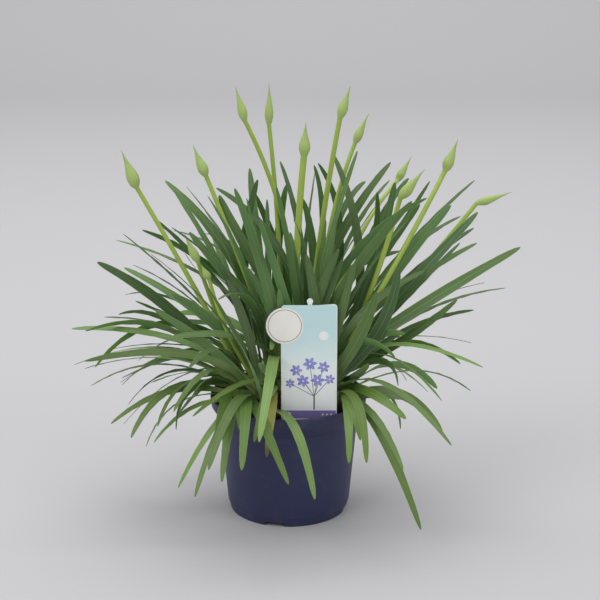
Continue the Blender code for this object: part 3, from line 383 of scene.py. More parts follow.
class Finish:
    """A material being wired: short calls add nodes and link them."""

    def __init__(self, name):
        old = bpy.data.materials.get(name)
        if old:
            bpy.data.materials.remove(old)
        self.material = bpy.data.materials.new(name)
        self.material.use_nodes = True
        self.tree = self.material.node_tree
        self.shader = self.tree.nodes["Principled BSDF"]

    def node(self, kind, settings=None, **inputs):
        made = self.tree.nodes.new(kind)
        for key, value in (settings or {}).items():
            setattr(made, key, value)
        for key, value in inputs.items():
            name = key.replace("_", " ")
            socket = made.inputs[int(key[1:])] if key[1:].isdigit() else made.inputs[name]
            self.put(socket, value)
        return made

    def put(self, socket, value):
        if isinstance(value, bpy.types.NodeSocket):
            self.tree.links.new(value, socket)
        elif hasattr(value, "__len__") and len(value) == 3 and socket.type == "RGBA":
            socket.default_value = (*value, 1.0)
        else:
            socket.default_value = value

    def math(self, operation, a, b=0.0, clamp=False):
        settings = {"operation": operation, "use_clamp": clamp}
        return self.node("ShaderNodeMath", settings, i0=a, i1=b).outputs[0]

    def times(self, a, b):
        return self.math("MULTIPLY", a, b)

    def plus(self, a, b, clamp=False):
        return self.math("ADD", a, b, clamp)

    def minus(self, a, b):
        return self.math("SUBTRACT", a, b)

    def ramp(self, value, low, high):
        """0 at low and 1 at high, with soft ends."""
        settings = {"interpolation_type": "SMOOTHSTEP"}
        return self.node("ShaderNodeMapRange", settings, Value=value, From_Min=low, From_Max=high).outputs[0]

    def mix(self, factor, a, b):
        made = self.node("ShaderNodeMix", {"data_type": "RGBA"})
        for i, value in ((0, factor), (6, a), (7, b)):
            self.put(made.inputs[i], value)
        return made.outputs[2]

    def tint(self, colour, mask, share, other):
        """The colour with a share of another wherever the mask is 1."""
        return self.mix(self.times(mask, share), colour, other)

    def blade_uv(self):
        """The UV along a blade or stem, and its parts across and along."""
        uv = self.node("ShaderNodeUVMap", {"uv_map": "blade"}).outputs[0]
        split = self.node("ShaderNodeSeparateXYZ", Vector=uv)
        return uv, split.outputs[0], split.outputs[1]

    def ribs(self, uv, run, **inputs):
        """Fine lines along a blade or stem."""
        settings = {"bands_direction": "X", "wave_profile": "SIN"}
        along = self.stretch(uv, (1.0, run, 1.0))
        return self.node("ShaderNodeTexWave", settings, Vector=along, **inputs).outputs["Fac"]

    def noise(self, vector, scale, detail=3.0, rough=0.55):
        made = self.node("ShaderNodeTexNoise", Scale=scale, Detail=detail, Roughness=rough)
        self.put(made.inputs["Vector"], vector)
        return made.outputs["Fac"]

    def place(self):
        """Position on the object, in metres."""
        return self.node("ShaderNodeTexCoord").outputs["Object"]

    def stretch(self, vector, scale):
        made = self.node("ShaderNodeMapping")
        self.put(made.inputs["Vector"], vector)
        made.inputs["Scale"].default_value = scale
        return made.outputs[0]

    def bump(self, height, strength, distance, under=None):
        made = self.node("ShaderNodeBump", Height=height, Strength=strength, Distance=distance)
        if under is not None:
            self.put(made.inputs["Normal"], under)
        return made.outputs[0]

    def done(self, colour, roughness, normal=None, **fixed):
        self.put(self.shader.inputs["Base Color"], colour)
        self.put(self.shader.inputs["Roughness"], roughness)
        if normal is not None:
            self.put(self.shader.inputs["Normal"], normal)
        for key, value in fixed.items():
            self.shader.inputs[key.replace("_", " ")].default_value = value
        return self.material


def leaf_finish(settings):
    """Strap leaf: parallel veins, paler midrib and margins, a pale foot, and its own green for each leaf."""
    f = Finish("strap_leaf")
    uv, across, along = f.blade_uv()
    traits = f.node("ShaderNodeAttribute", {"attribute_name": "traits"})
    trait = f.node("ShaderNodeSeparateColor", Color=traits.outputs["Color"])
    tone, fresh, under = trait.outputs[0], trait.outputs[1], trait.outputs[2]
    age = traits.outputs["Alpha"]
    off_centre = f.math("ABSOLUTE", f.minus(across, 0.5))
    patches = f.noise(f.place(), 38.0, 4.0)
    cloudy = f.noise(f.place(), 9.0, 2.0)
    veins = f.ribs(uv, 0.6, Scale=4.6, Distortion=0.5, Detail=1.0, Detail_Scale=1.5)
    greener = f.plus(fresh, f.times(f.minus(cloudy, 0.5), 0.5), clamp=True)
    colour = f.mix(greener, tuple(settings.deep_green), tuple(settings.fresh_green))
    vein_green = f.mix(greener, (0.10, 0.18, 0.07), (0.22, 0.34, 0.08))
    colour = f.tint(colour, veins, 0.16, vein_green)
    colour = f.tint(colour, f.ramp(patches, 0.42, 0.72), 0.25, (0.085, 0.15, 0.045))
    midrib = f.times(f.ramp(off_centre, 0.07, 0.01), 0.42)
    colour = f.mix(midrib, colour, (0.19, 0.30, 0.10))
    margin = f.times(f.ramp(off_centre, 0.455, 0.495), 0.45)
    colour = f.mix(margin, colour, (0.26, 0.36, 0.14))
    colour = f.tint(colour, under, 0.45, (0.13, 0.22, 0.075))
    colour = f.mix(f.ramp(along, 0.24, 0.02), colour, tuple(settings.sheath_pale))
    dry_tip = f.ramp(f.plus(along, f.times(patches, 0.02)), 0.994, 1.008)
    colour = f.tint(colour, dry_tip, 0.35, (0.16, 0.09, 0.03))
    colour = f.mix(age, colour, tuple(settings.faded))
    aged_tip = f.times(age, f.ramp(along, 0.86, 0.97))
    colour = f.mix(aged_tip, colour, (0.12, 0.06, 0.02))
    shade = f.node("ShaderNodeHueSaturation", Color=colour)
    f.put(shade.inputs["Value"], f.plus(0.72, f.times(tone, 0.56)))
    f.put(shade.inputs["Hue"], f.plus(0.492, f.times(tone, 0.016)))
    rough = f.plus(0.36, f.times(patches, 0.14))
    rough = f.plus(rough, f.times(under, 0.1))
    normal = f.bump(veins, 0.35, 0.12 * MM)
    normal = f.bump(patches, 0.15, 0.4 * MM, normal)
    return f.done(
        shade.outputs[0],
        rough,
        normal,
        Subsurface_Weight=0.12,
        Subsurface_Radius=LEAF_SCATTER,
        Subsurface_Scale=0.004,
        Specular_IOR_Level=0.42,
    )


def sheath_finish(settings):
    """The wrapped foot of a shoot: whitish at the soil, greener above, with long ribs and a few dry skins."""
    f = Finish("leaf_sheath")
    uv, _, along = f.blade_uv()
    ribs = f.ribs(uv, 0.3, Scale=7.0, Distortion=1.6, Detail=2.0)
    patches = f.noise(f.place(), 90.0, 4.0)
    colour = f.mix(f.ramp(along, 0.35, 1.0), tuple(settings.sheath_pale), (0.11, 0.21, 0.045))
    colour = f.tint(colour, ribs, 0.3, (0.20, 0.28, 0.09))
    colour = f.tint(colour, f.ramp(patches, 0.56, 0.74), 0.7, (0.17, 0.10, 0.045))
    return f.done(
        colour,
        f.plus(0.42, f.times(patches, 0.2)),
        f.bump(ribs, 0.5, 0.4 * MM),
        Subsurface_Weight=0.15,
        Subsurface_Radius=LEAF_SCATTER,
        Subsurface_Scale=0.005,
    )


def scape_finish(settings):
    """Smooth yellow-green stem that pales into the papery bud, with fine long ribs on the bud."""
    f = Finish("scape_skin")
    uv, _, along = f.blade_uv()
    bud = f.ramp(along, 0.97, 1.06)
    tip = f.ramp(along, 1.62, 1.98)
    ribs = f.ribs(uv, 0.15, Scale=5.0, Distortion=0.8, Detail=2.0)
    patches = f.noise(f.place(), 46.0, 4.0)
    stem = f.mix(f.times(patches, 0.5), tuple(settings.stem_green), (0.25, 0.37, 0.05))
    colour = f.mix(bud, stem, tuple(settings.bud_green))
    colour = f.tint(colour, f.times(ribs, bud), 0.5, (0.22, 0.36, 0.08))
    colour = f.tint(colour, ribs, 0.08, (0.42, 0.52, 0.2))
    colour = f.tint(colour, tip, 0.55, (0.28, 0.42, 0.10))
    colour = f.mix(f.ramp(along, 0.16, 0.0), colour, (0.40, 0.48, 0.20))
    return f.done(
        colour,
        f.plus(0.34, f.times(patches, 0.18)),
        f.bump(f.times(ribs, f.plus(0.2, bud)), 0.5, 0.25 * MM),
        Subsurface_Weight=0.2,
        Subsurface_Radius=LEAF_SCATTER,
        Subsurface_Scale=0.005,
        Specular_IOR_Level=0.4,
    )


def pot_finish(settings):
    """Matt moulded plastic: a fine grain, faint flow marks, dust on its ledges and a few pale scuffs."""
    f = Finish("pot_plastic")
    place = f.place()
    height = f.node("ShaderNodeSeparateXYZ", Vector=place).outputs[2]
    grain = f.noise(place, 1700.0, 2.0, 0.6)
    cloud = f.noise(f.stretch(place, (1.0, 1.0, 0.35)), 26.0, 4.0)
    scuffs = f.noise(f.stretch(place, (1.0, 1.0, 3.5)), 120.0, 5.0, 0.7)
    dust = f.noise(place, 60.0, 6.0, 0.65)
    colour = f.mix(f.times(cloud, 0.55), tuple(settings.plastic), (0.022, 0.027, 0.080))
    near_foot = f.ramp(height, 0.028, 0.0)
    near_rim = f.ramp(height, 0.125, 0.145)
    low_dust = f.times(f.ramp(dust, 0.5, 0.75), f.plus(0.10, f.times(near_foot, 0.35)))
    rim_dust = f.times(near_rim, f.times(f.ramp(dust, 0.45, 0.7), 0.22))
    dusty = f.plus(low_dust, rim_dust)
    colour = f.mix(dusty, colour, (0.13, 0.12, 0.115))
    colour = f.tint(colour, f.ramp(scuffs, 0.66, 0.8), 0.18, (0.15, 0.16, 0.2))
    rough = f.plus(0.40, f.times(cloud, 0.16))
    rough = f.plus(rough, f.times(dusty, 0.5))
    normal = f.bump(grain, 0.22, 0.06 * MM)
    normal = f.bump(cloud, 0.12, 0.5 * MM, normal)
    return f.done(colour, rough, normal, Specular_IOR_Level=0.45)


def soil_finish(name, settings, lighter):
    """Moist peat: dark crumbs, paler fibres and a few bits of bark."""
    f = Finish(name)
    place = f.place()
    crumbs = f.noise(place, 420.0, 6.0, 0.7)
    patches = f.noise(place, 55.0, 4.0)
    fibres = f.noise(f.stretch(place, (1.0, 0.16, 1.0)), 900.0, 2.0, 0.5)
    colour = f.mix(patches, tuple(settings.peat), (0.062 * lighter, 0.040 * lighter, 0.024 * lighter))
    crumb_brown = (0.12 * lighter, 0.075 * lighter, 0.04)
    colour = f.tint(colour, f.ramp(crumbs, 0.52, 0.75), 0.7, crumb_brown)
    colour = f.tint(colour, f.ramp(fibres, 0.66, 0.78), 0.5, (0.24, 0.17, 0.10))
    return f.done(colour, 0.92, f.bump(crumbs, 0.9, 1.2 * MM), Specular_IOR_Level=0.25)


def card_finish(name, colour, second, scale):
    """Printed plastic card: a flat ink with a slow change of tint, a fine dot screen and a satin face."""
    f = Finish(name)
    place = f.place()
    drift = f.noise(place, scale, 3.0)
    screen = f.noise(place, 2600.0, 1.0)
    ink = f.mix(f.ramp(drift, 0.3, 0.7), colour, second)
    ink = f.tint(ink, screen, 0.08, (0.9, 0.9, 0.9))
    rough = f.plus(0.30, f.times(drift, 0.12))
    return f.done(ink, rough, f.bump(screen, 0.05, 0.02 * MM), Specular_IOR_Level=0.5)


def ground_finish(settings):
    """The card's printed ground: pale blue-green above, running softly into white below."""
    f = Finish("card_ground_ink")
    place = f.place()
    height = f.node("ShaderNodeSeparateXYZ", Vector=place).outputs[2]
    drift = f.noise(place, 30.0, 4.0)
    level = f.plus(height, f.times(f.minus(drift, 0.5), 0.03))
    up = f.ramp(level, CARD_FOOT + 0.048, CARD_FOOT + 0.118)
    ink = f.mix(up, (0.80, 0.83, 0.82), tuple(settings.sky))
    ink = f.tint(ink, f.ramp(drift, 0.55, 0.75), 0.35, (0.82, 0.86, 0.86))
    return f.done(ink, f.plus(0.3, f.times(drift, 0.1)), f.bump(drift, 0.04, 0.1 * MM))


def floor_finish(settings):
    """Seamless pale paper with a faint tooth."""
    f = Finish("studio_paper")
    tooth = f.noise(f.place(), 260.0, 3.0)
    wash = f.noise(f.place(), 0.9, 2.0)
    tint = tuple(settings.floor)
    colour = f.mix(f.times(wash, 0.25), tint, tuple(0.94 * c for c in tint))
    return f.done(colour, 0.75, f.bump(tooth, 0.05, 0.2 * MM), Specular_IOR_Level=0.2)


# Mesh helpers


def add_mesh(name, points, faces, material, smooth=True):
    mesh = bpy.data.meshes.new(name)
    mesh.from_pydata([tuple(p) for p in points], [], faces)
    mesh.materials.append(material)
    mesh.polygons.foreach_set("use_smooth", [smooth] * len(mesh.polygons))
    mesh.update()
    made = bpy.data.objects.new(name, mesh)
    bpy.context.scene.collection.objects.link(made)
    return made


def dress(piece, replaces=()):
    """Lets a piece ride on the plant's one body."""
    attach(piece, "root")
    if replaces:
        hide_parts(*replaces)


def new_piece(name, points, faces, material, smooth=True, replaces=()):
    piece = add_mesh(name, points, faces, material, smooth)
    dress(piece, replaces)
    return piece


def tube_faces(rings, sides, start=0):
    """The quads between rings of points that follow each other."""
    faces = []
    for a in range(start, start + (rings - 1) * sides, sides):
        for s in range(sides):
            nxt = (s + 1) % sides
            faces.append((a + s, a + nxt, a + sides + nxt, a + sides + s))
    return faces


def smoothed(stations, shares, t):
    """A share at t on a smooth curve through the stations."""
    last = len(stations) - 1
    i = min(last - 1, max(0, next((k - 1 for k in range(1, last + 1) if t <= stations[k]), last - 1)))
    width = stations[i + 1] - stations[i]

    def slope(k):
        if k in (0, last):
            j = min(k, last - 1)
            return (shares[j + 1] - shares[j]) / (stations[j + 1] - stations[j])
        return (shares[k + 1] - shares[k - 1]) / (stations[k + 1] - stations[k - 1])

    x = (t - stations[i]) / width
    a, b = shares[i], shares[i + 1]
    m, n = slope(i) * width, slope(i + 1) * width
    return (
        (2 * x**3 - 3 * x**2 + 1) * a
        + (x**3 - 2 * x**2 + x) * m
        + (-2 * x**3 + 3 * x**2) * b
        + (x**3 - x**2) * n
    )


def bezier(a, b, c, t):
    return a * ((1 - t) ** 2) + b * (2 * t * (1 - t)) + c * (t * t)


def bezier_slope(a, b, c, t):
    return ((b - a) * (1 - t) + (c - b) * t).normalized()


def from_view(spot, depth):
    """The point at a depth (Y) that a front-view picture coordinate shows."""
    across = (spot[0] - PICTURE_CENTRE) / EYE_LENS
    up = (PICTURE_CENTRE - spot[1]) / EYE_LENS
    forward = Vector((0.0, math.cos(EYE_PITCH), -math.sin(EYE_PITCH)))
    above = Vector((0.0, math.sin(EYE_PITCH), math.cos(EYE_PITCH)))
    ray = forward + Vector((across, 0.0, 0.0)) + above * up
    return EYE + ray * ((depth - EYE.y) / ray.y)


def curve_middle(start, way, end, low, high):
    """The middle point of the curve from start to end that passes the way point."""
    before, after = (way - start).length, (end - way).length
    t = min(high, max(low, before / (before + after)))
    return (way - start * ((1 - t) ** 2) - end * (t * t)) / (2 * t * (1 - t))


def soil_reach():
    """The inner radius of the pot at the soil's edge."""
    (low_radius, low), (high_radius, high) = COLLAR_INSIDE
    return low_radius + (high_radius - low_radius) * (SOIL_EDGE_HEIGHT - low) / (high - low)


def soil_height(x, y):
    share = min(1.0, math.hypot(x, y) / soil_reach())
    dome = SOIL_CROWN_HEIGHT + (SOIL_EDGE_HEIGHT - SOIL_CROWN_HEIGHT) * share**2
    lump = math.sin(x * 210.0 + 1.3) * math.cos(y * 260.0) + 0.6 * math.sin((x + y) * 390.0)
    return dome + 0.5 * SOIL_LUMP * lump * (1.0 - 0.6 * share)


# Where each shoot, leaf and scape grows, by the same rule as the solids


def shoot_spots():
    spots = []
    for i in range(SHOOTS):
        radius = SHOOT_CIRCLE * math.sqrt((i + 0.5) / SHOOTS)
        turn = i * GOLDEN_TURN + 0.6
        x, y = radius * math.cos(turn), radius * math.sin(turn)
        if abs(x - CARD_CENTRE_X) < 0.5 * CARD_WIDTH + SHEATH_HALF_WIDTH:
            y = max(y, CARD_DEPTH + BEHIND_CARD)
        foot = Vector((x, y, soil_height(x, y)))
        out = math.atan2(y, x)
        lean = SHEATH_LEAN * math.hypot(x, y) / SHOOT_CIRCLE
        axis = Vector((math.cos(out) * math.sin(lean), math.sin(out) * math.sin(lean), math.cos(lean)))
        spots.append((foot, axis, turn + math.radians(70.0) * (-1) ** i))
    return spots


def leaf_bend(root, way, tip, depth):
    """The middle point of a leaf's curve: it passes the way point, or arches over the rim."""
    if depth <= HANGING_DEPTH:
        return Vector((0.6 * root.x + 0.4 * tip.x, tip.y + 8.0 * MM, POT_HEIGHT + HANGING_RISE))
    return curve_middle(root, way, tip, *LEAF_WAY)


def crosses_card(root, bend, tip):
    """Whether a leaf's curve would cut the label card."""
    curve = [bezier(root, bend, tip, i / 16) for i in range(17)]
    for at, ahead in zip(curve, curve[1:]):
        if min(at.y, ahead.y) <= CARD_DEPTH < max(at.y, ahead.y):
            beside = abs(at.x - CARD_CENTRE_X) > 0.5 * CARD_WIDTH + BESIDE_CARD
            if not beside and CARD_FOOT - PAST_CARD < at.z < CARD_FOOT + CARD_HEIGHT + PAST_CARD:
                return True
    return False


def seen_leaf(number, row, spots, loads):
    """Plans of a leaf read from the front view, one for each shoot that it most simply grows from."""
    tip_spot, way_spot, depth, width, face = row
    tip = from_view(tip_spot, depth * MM)
    ways = []
    for shoot, (foot, axis, turn) in enumerate(spots):
        if loads[shoot] >= MOST_LEAVES - 1:
            continue
        toward = Vector((tip.x - foot.x, tip.y - foot.y, 0.0)).normalized()
        rise = 0.25 + 0.5 * max(0.0, (tip - foot).normalized().z)
        root = foot + axis * (rise * SHEATH_LENGTH) + toward * (2.5 * MM)
        way = from_view(way_spot, root.y + (depth * MM - root.y) * 0.55)
        bend = leaf_bend(root, way, tip, depth)
        turned = (way - root).angle(tip - way)
        cost = turned + WAY_COST * (way - root).length + LOAD_COST * loads[shoot]
        if way.z < root.z:
            cost += DIP_COST * (root.z - way.z)
        if crosses_card(root, bend, tip):
            cost += CARD_COST
        ways.append((cost, shoot, root, bend))
    return [
        {
            "name": f"seen_{number:02d}",
            "shoot": shoot,
            "root": root,
            "bend": bend,
            "tip": tip,
            "width": width * MM,
            "face": face,
            "twist": 0.0,
            "wander": 1.0,
        }
        for _, shoot, root, bend in sorted(ways, key=lambda found: found[:2])[:SHOOTS_TRIED]
    ]


def rule_leaf(shoot, number, spot, draw):
    """A leaf of a shoot's fan: ranks alternate, and rise from the outside in."""
    foot, axis, turn = spot
    rank = number // 2 % len(RANK_RISES)
    side = 1 if number % 2 else -1
    fan = Vector((math.cos(turn), math.sin(turn), 0.0)) * side
    outward = Vector((foot.x, foot.y, 0.0)) / SHOOT_CIRCLE
    heading = (fan + outward * 1.1).normalized()
    swing = Matrix.Rotation(math.radians(draw.uniform(-RULE_SWING, RULE_SWING)), 3, "Z")
    heading = (swing @ heading).normalized()
    rise = math.radians(RANK_RISES[rank] + draw.uniform(-RULE_SINK, RULE_SINK))
    length = RANK_LENGTHS[rank] * MM * draw.uniform(0.82, 1.14)
    chord = (heading * math.cos(rise) + Vector((0, 0, math.sin(rise)))) * length
    root = foot + axis * ((0.25 + 0.08 * rank) * SHEATH_LENGTH) + fan * (2.0 * MM)
    tip = root + chord
    upward = Vector((0.0, 0.0, 1.0))
    lift = (upward - chord.normalized() * upward.dot(chord.normalized())).normalized()
    bend = root + chord * 0.42 + lift * (2.0 * RANK_BOWS[rank] * length * draw.uniform(0.8, 1.3))
    return {
        "name": f"rule_{shoot:02d}_{number:02d}",
        "shoot": shoot,
        "root": root,
        "bend": bend,
        "tip": tip,
        "width": BLADE_WIDTH * draw.uniform(0.75, 1.1),
        "face": 0.0,
        "twist": RULE_TWIST * draw.uniform(-1.0, 1.0),
        "wander": 1.7,
    }


def tried(plan, attempt):
    """The plan of a leaf bent aside a little, further with each attempt."""
    draw = random.Random(f"{plan['name']} {attempt}")
    reach = FIRST_REACH * attempt**0.75 * plan["wander"]

    def drawn(*ranges):
        return Vector([draw.uniform(low, high) for low, high in ranges])

    aside = drawn((-0.4, 0.4), (-1.0, 1.0), (-0.35, 0.35)) * reach
    sway = drawn((-0.6, 0.6), (-1.0, 1.0), (-0.3, 0.6)) * reach
    roll = math.radians(plan["twist"] + draw.uniform(-10, 10) * (1.0 + 0.06 * attempt) * plan["wander"])
    nudge = drawn((-1, 1), (-1, 1), (-3, 3)) * ROOT_NUDGE
    return (
        plan["root"] + (nudge if attempt else Vector()),
        plan["bend"] + (sway if attempt else Vector()),
        plan["tip"] + (aside if attempt else Vector()),
        plan["width"],
        plan["face"],
        roll,
    )


def corner_finder(node):
    """Finds whether a solid has a corner at a point."""
    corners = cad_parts[node].data.vertices
    tree = KDTree(len(corners))
    for i, corner in enumerate(corners):
        tree.insert(corner.co, i)
    tree.balance()
    return lambda point: tree.find(point)[2] < FOUND_WITHIN


def found_leaf(plan, finders):
    """The try of a leaf that its shoot's solid holds, or None."""
    for attempt in range(ATTEMPTS):
        leaf = tried(plan, attempt)
        if finders[plan["shoot"]](leaf[2]):
            return leaf
    return None


def grown_leaves():
    """For each shoot, the leaves that its solid holds: (plan, leaf as it was bent clear)."""
    spots = shoot_spots()
    finders = [corner_finder(f"shoot_{i + 1:02d}") for i in range(SHOOTS)]
    loads = [0] * SHOOTS
    grown = [[] for _ in spots]
    for number in sorted(range(len(SEEN_LEAVES)), key=lambda n: SEEN_LEAVES[n][2] > HANGING_DEPTH):
        for plan in seen_leaf(number, SEEN_LEAVES[number], spots, loads):
            leaf = found_leaf(plan, finders)
            if leaf:
                grown[plan["shoot"]].append((plan, leaf))
                loads[plan["shoot"]] += 1
                break
    for i, spot in enumerate(spots):
        for number in range(RULE_LEAVES):
            plan = rule_leaf(i, number, spot, random.Random(f"leaf {i} {number}"))
            leaf = found_leaf(plan, finders)
            if leaf:
                grown[i].append((plan, leaf))
    return spots, grown


def scape_curve(row, spots, used, deeper, aside):
    tip_spot, foot_spot, way_spot, depth, stem, bud = row
    depth += deeper / MM
    tip = from_view(tip_spot, depth * MM)
    bud_foot = from_view(foot_spot, depth * MM * 0.95)
    best = None
    for shoot, (foot, axis, turn) in enumerate(spots):
        if shoot in used:
            continue
        beside = Vector((-math.sin(turn), math.cos(turn), 0.0))
        if beside.dot(Vector((-foot.x, -foot.y, 0.0))) < 0.0:
            beside = -beside
        start = foot + beside * (SHEATH_HALF_THICKNESS + stem * MM + 2.2 * MM) + aside
        way = from_view(way_spot, start.y + (depth * MM - start.y) * 0.5)
        cost = (way - start).angle(bud_foot - way) + ASIDE_COST * abs(way.x - start.x)
        if best is None or cost < best[0]:
            best = (cost, shoot, start, way)
    _, shoot, start, way = best
    start.z = soil_height(start.x, start.y) + SCAPE_COLLAR
    bend = curve_middle(start, way, bud_foot, *SCAPE_WAY)
    return shoot, (start, bend, bud_foot, tip, stem * MM, bud * MM)


def grown_scapes():
    """Each scape as its solid has it."""
    spots, used, grown = shoot_spots(), set(), {}
    for name, row in SCAPES.items():
        find = corner_finder(name)
        draw = random.Random(name)
        for attempt in range(ATTEMPTS):
            deeper = draw.uniform(-1.0, 1.0) * 2.2 * MM * attempt
            aside = Vector((draw.uniform(-1.0, 1.0), draw.uniform(-1.0, 1.0), 0.0)) * 0.5 * MM * attempt
            shoot, curve = scape_curve(row, spots, used, deeper, aside)
            if find(curve[3]):
                used.add(shoot)
                grown[name] = curve
                break
    return grown


# Leaves


class BladeMesh:
    """Collects many blades in one mesh, with their UV and traits."""

    def __init__(self):
        self.points, self.faces, self.uvs, self.traits, self.sharp = [], [], [], [], []

    def add(self, points, faces, uvs, traits, sharp=()):
        start = len(self.points)
        self.points += points
        self.faces += [tuple(start + i for i in face) for face in faces]
        self.uvs += uvs
        self.traits += traits
        self.sharp += [(start + a, start + b) for a, b in sharp]

    def piece(self, name, material, slot, replaces=()):
        made = new_piece(name, self.points, self.faces, material, True, replaces)
        mesh = made.data
        layer = mesh.uv_layers.new(name="blade")
        for loop in mesh.loops:
            layer.data[loop.index].uv = self.uvs[loop.vertex_index]
        traits = mesh.attributes.new("traits", "FLOAT_COLOR", "POINT")
        for i, value in enumerate(self.traits):
            traits.data[i].color = value
        if self.sharp:
            keep = {tuple(sorted(pair)) for pair in self.sharp}
            edges = mesh.attributes.new("sharp_edge", "BOOLEAN", "EDGE")
            for i, edge in enumerate(mesh.edges):
                edges.data[i].value = tuple(sorted(edge.vertices)) in keep
        return made


def blade_facing(leaf, t):
    """Place, slope and level normal of a blade at t, and the direction square to it that meets the eye."""
    root, bend, tip = leaf[:3]
    plane = (bend - root).cross(tip - bend)
    if plane.length < 1e-9:
        plane = Vector((0.0, 1.0, 0.0))
    at = bezier(root, bend, tip, t)
    slope = bezier_slope(root, bend, tip, t)
    eye = EYE - at
    return at, slope, slope.cross(plane).normalized(), (eye - slope * eye.dot(slope)).normalized()


def blade_frame(leaf, t, signs):
    """Place, slope, side and normal of a blade at t, as the solid has them."""
    face, roll = leaf[4:]
    at, slope, level, square = blade_facing(leaf, t)
    normal = (level * (signs[0] * (1.0 - face)) + square * (signs[1] * face)).normalized()
    normal = (Matrix.Rotation(roll * t, 3, slope) @ normal).normalized()
    return at, slope, normal.cross(slope).normalized(), normal


def blade_signs(leaf):
    """Which way a blade's upper face looks, settled once so that it doesn't flip along the blade."""
    _, _, level, square = blade_facing(leaf, SIGN_STATION)
    upward = 1.0 if level.z > 0.0 else -1.0
    return upward, 1.0 if square.dot(level) * upward > 0.0 else -1.0


def blade_share(t):
    """Width of a blade at t: a strap with a short, bluntly pointed tip."""
    if t < TIP_START:
        return max(0.3, smoothed(BLADE_STATIONS[:-1], BLADE_SHARES[:-1], t))
    x = (t - TIP_START) / (1.0 - TIP_START)
    return TIP_SHARE * math.sqrt(max(0.0, 1.0 - x**1.7))


def add_blade(mesh, leaf, settings, traits, draw):
    """One channelled blade with a keel beneath and a faint ripple along its margins."""
    width = leaf[3]
    across = settings.across
    phase, beat = draw.uniform(0, math.tau), draw.uniform(7.0, 11.0)
    stations = [1.0 - (1.0 - k / settings.along) ** 1.25 for k in range(settings.along)]
    stations = [t for t in stations if t < 0.992] + [0.994]
    signs = blade_signs(leaf)
    rings = []
    points, uvs, values = [], [], []
    tone, fresh, age = traits
    for t in stations:
        at, slope, side, normal = blade_frame(leaf, t, signs)
        share = blade_share(t)
        half = 0.5 * width * share
        fold = BLADE_FOLD * width * share * (1.15 - t)
        ring = []
        for face in (1.0, -1.0):
            for j in range(across + 1):
                s = 2.0 * j / across - 1.0
                thick = 0.5 * BLADE_THICKNESS * (1.0 - 0.72 * s * s) * (1.0 - 0.45 * t)
                if face < 0.0 and abs(s) < 0.01:
                    thick *= 1.5
                late = 2.0 if s > 0 else 0.0
                wave = settings.ripple * s * s * math.sin(beat * t * math.tau + phase + late)
                wave *= min(1.0, 4.0 * t) * min(1.0, 6.0 * (1.0 - t))
                points.append(at + side * (half * s) + normal * (fold * s * s + face * thick + wave))
                uvs.append((0.5 + 0.5 * s, t))
                values.append((tone, fresh, 0.0 if face > 0.0 else 1.0, age))
                ring.append(len(points) - 1)
        rings.append(ring)
    points.append(leaf[2].copy())
    uvs.append((0.5, 1.0))
    values.append((tone, fresh, 0.5, age))
    tip = len(points) - 1
    row = across + 1
    faces, sharp = [], []
    for a, b in zip(rings, rings[1:]):
        for j in range(across):
            faces.append((a[j], b[j], b[j + 1], a[j + 1]))
            faces.append((a[row + j], a[row + j + 1], b[row + j + 1], b[row + j]))
        faces.append((a[across], b[across], b[row + across], a[row + across]))
        faces.append((a[0], a[row], b[row], b[0]))
        for j in (0, across, row, row + across):
            sharp.append((a[j], b[j]))
    last = rings[-1]
    for j in range(across):
        faces.append((last[j], tip, last[j + 1]))
        faces.append((last[row + j], last[row + j + 1], tip))
    faces.append((last[across], tip, last[row + across]))
    faces.append((last[0], last[row], tip))
    first = rings[0]
    faces.append(tuple(first[:row]) + tuple(reversed(first[row:])))
    mesh.add(points, faces, uvs, values, sharp)


def add_sheath(mesh, spot, draw):
    """The wrapped leaf feet: a flattened, ribbed column that narrows to where the blades part."""
    foot, axis, turn = spot
    across = Vector((math.cos(turn), math.sin(turn), 0.0))
    across = (across - axis * across.dot(axis)).normalized()
    deep = axis.cross(across)
    sides, steps = 26, 12
    points, uvs, values = [], [], []
    tone = draw.uniform(0.2, 0.8)
    for k in range(steps + 1):
        share = k / steps
        rise = -0.6 * SHEATH_DEPTH + (0.6 * SHEATH_DEPTH + SHEATH_LENGTH) * share
        high = max(0.0, rise / SHEATH_LENGTH)
        girth = smoothed((0.0, 0.45, 1.0), (0.97, 0.92, 0.48), high)
        for s in range(sides):
            angle = math.tau * s / sides
            wrap = 1.0 - 0.05 * abs(math.sin(3.0 * angle + 2.5 * share + turn)) ** 0.5
            centre = foot + (axis * rise if rise > 0.0 else Vector((0.0, 0.0, rise)))
            points.append(
                centre
                + across * (SHEATH_HALF_WIDTH * girth * wrap * math.cos(angle))
                + deep * (SHEATH_HALF_THICKNESS * girth * wrap * math.sin(angle))
            )
            uvs.append((s / sides, share))
            values.append((tone, 0.5, 0.0, 0.0))
    faces = tube_faces(steps + 1, sides)
    faces.append(tuple(range(sides))[::-1])
    faces.append(tuple(steps * sides + s for s in range(sides)))
    mesh.add(points, faces, uvs, values)


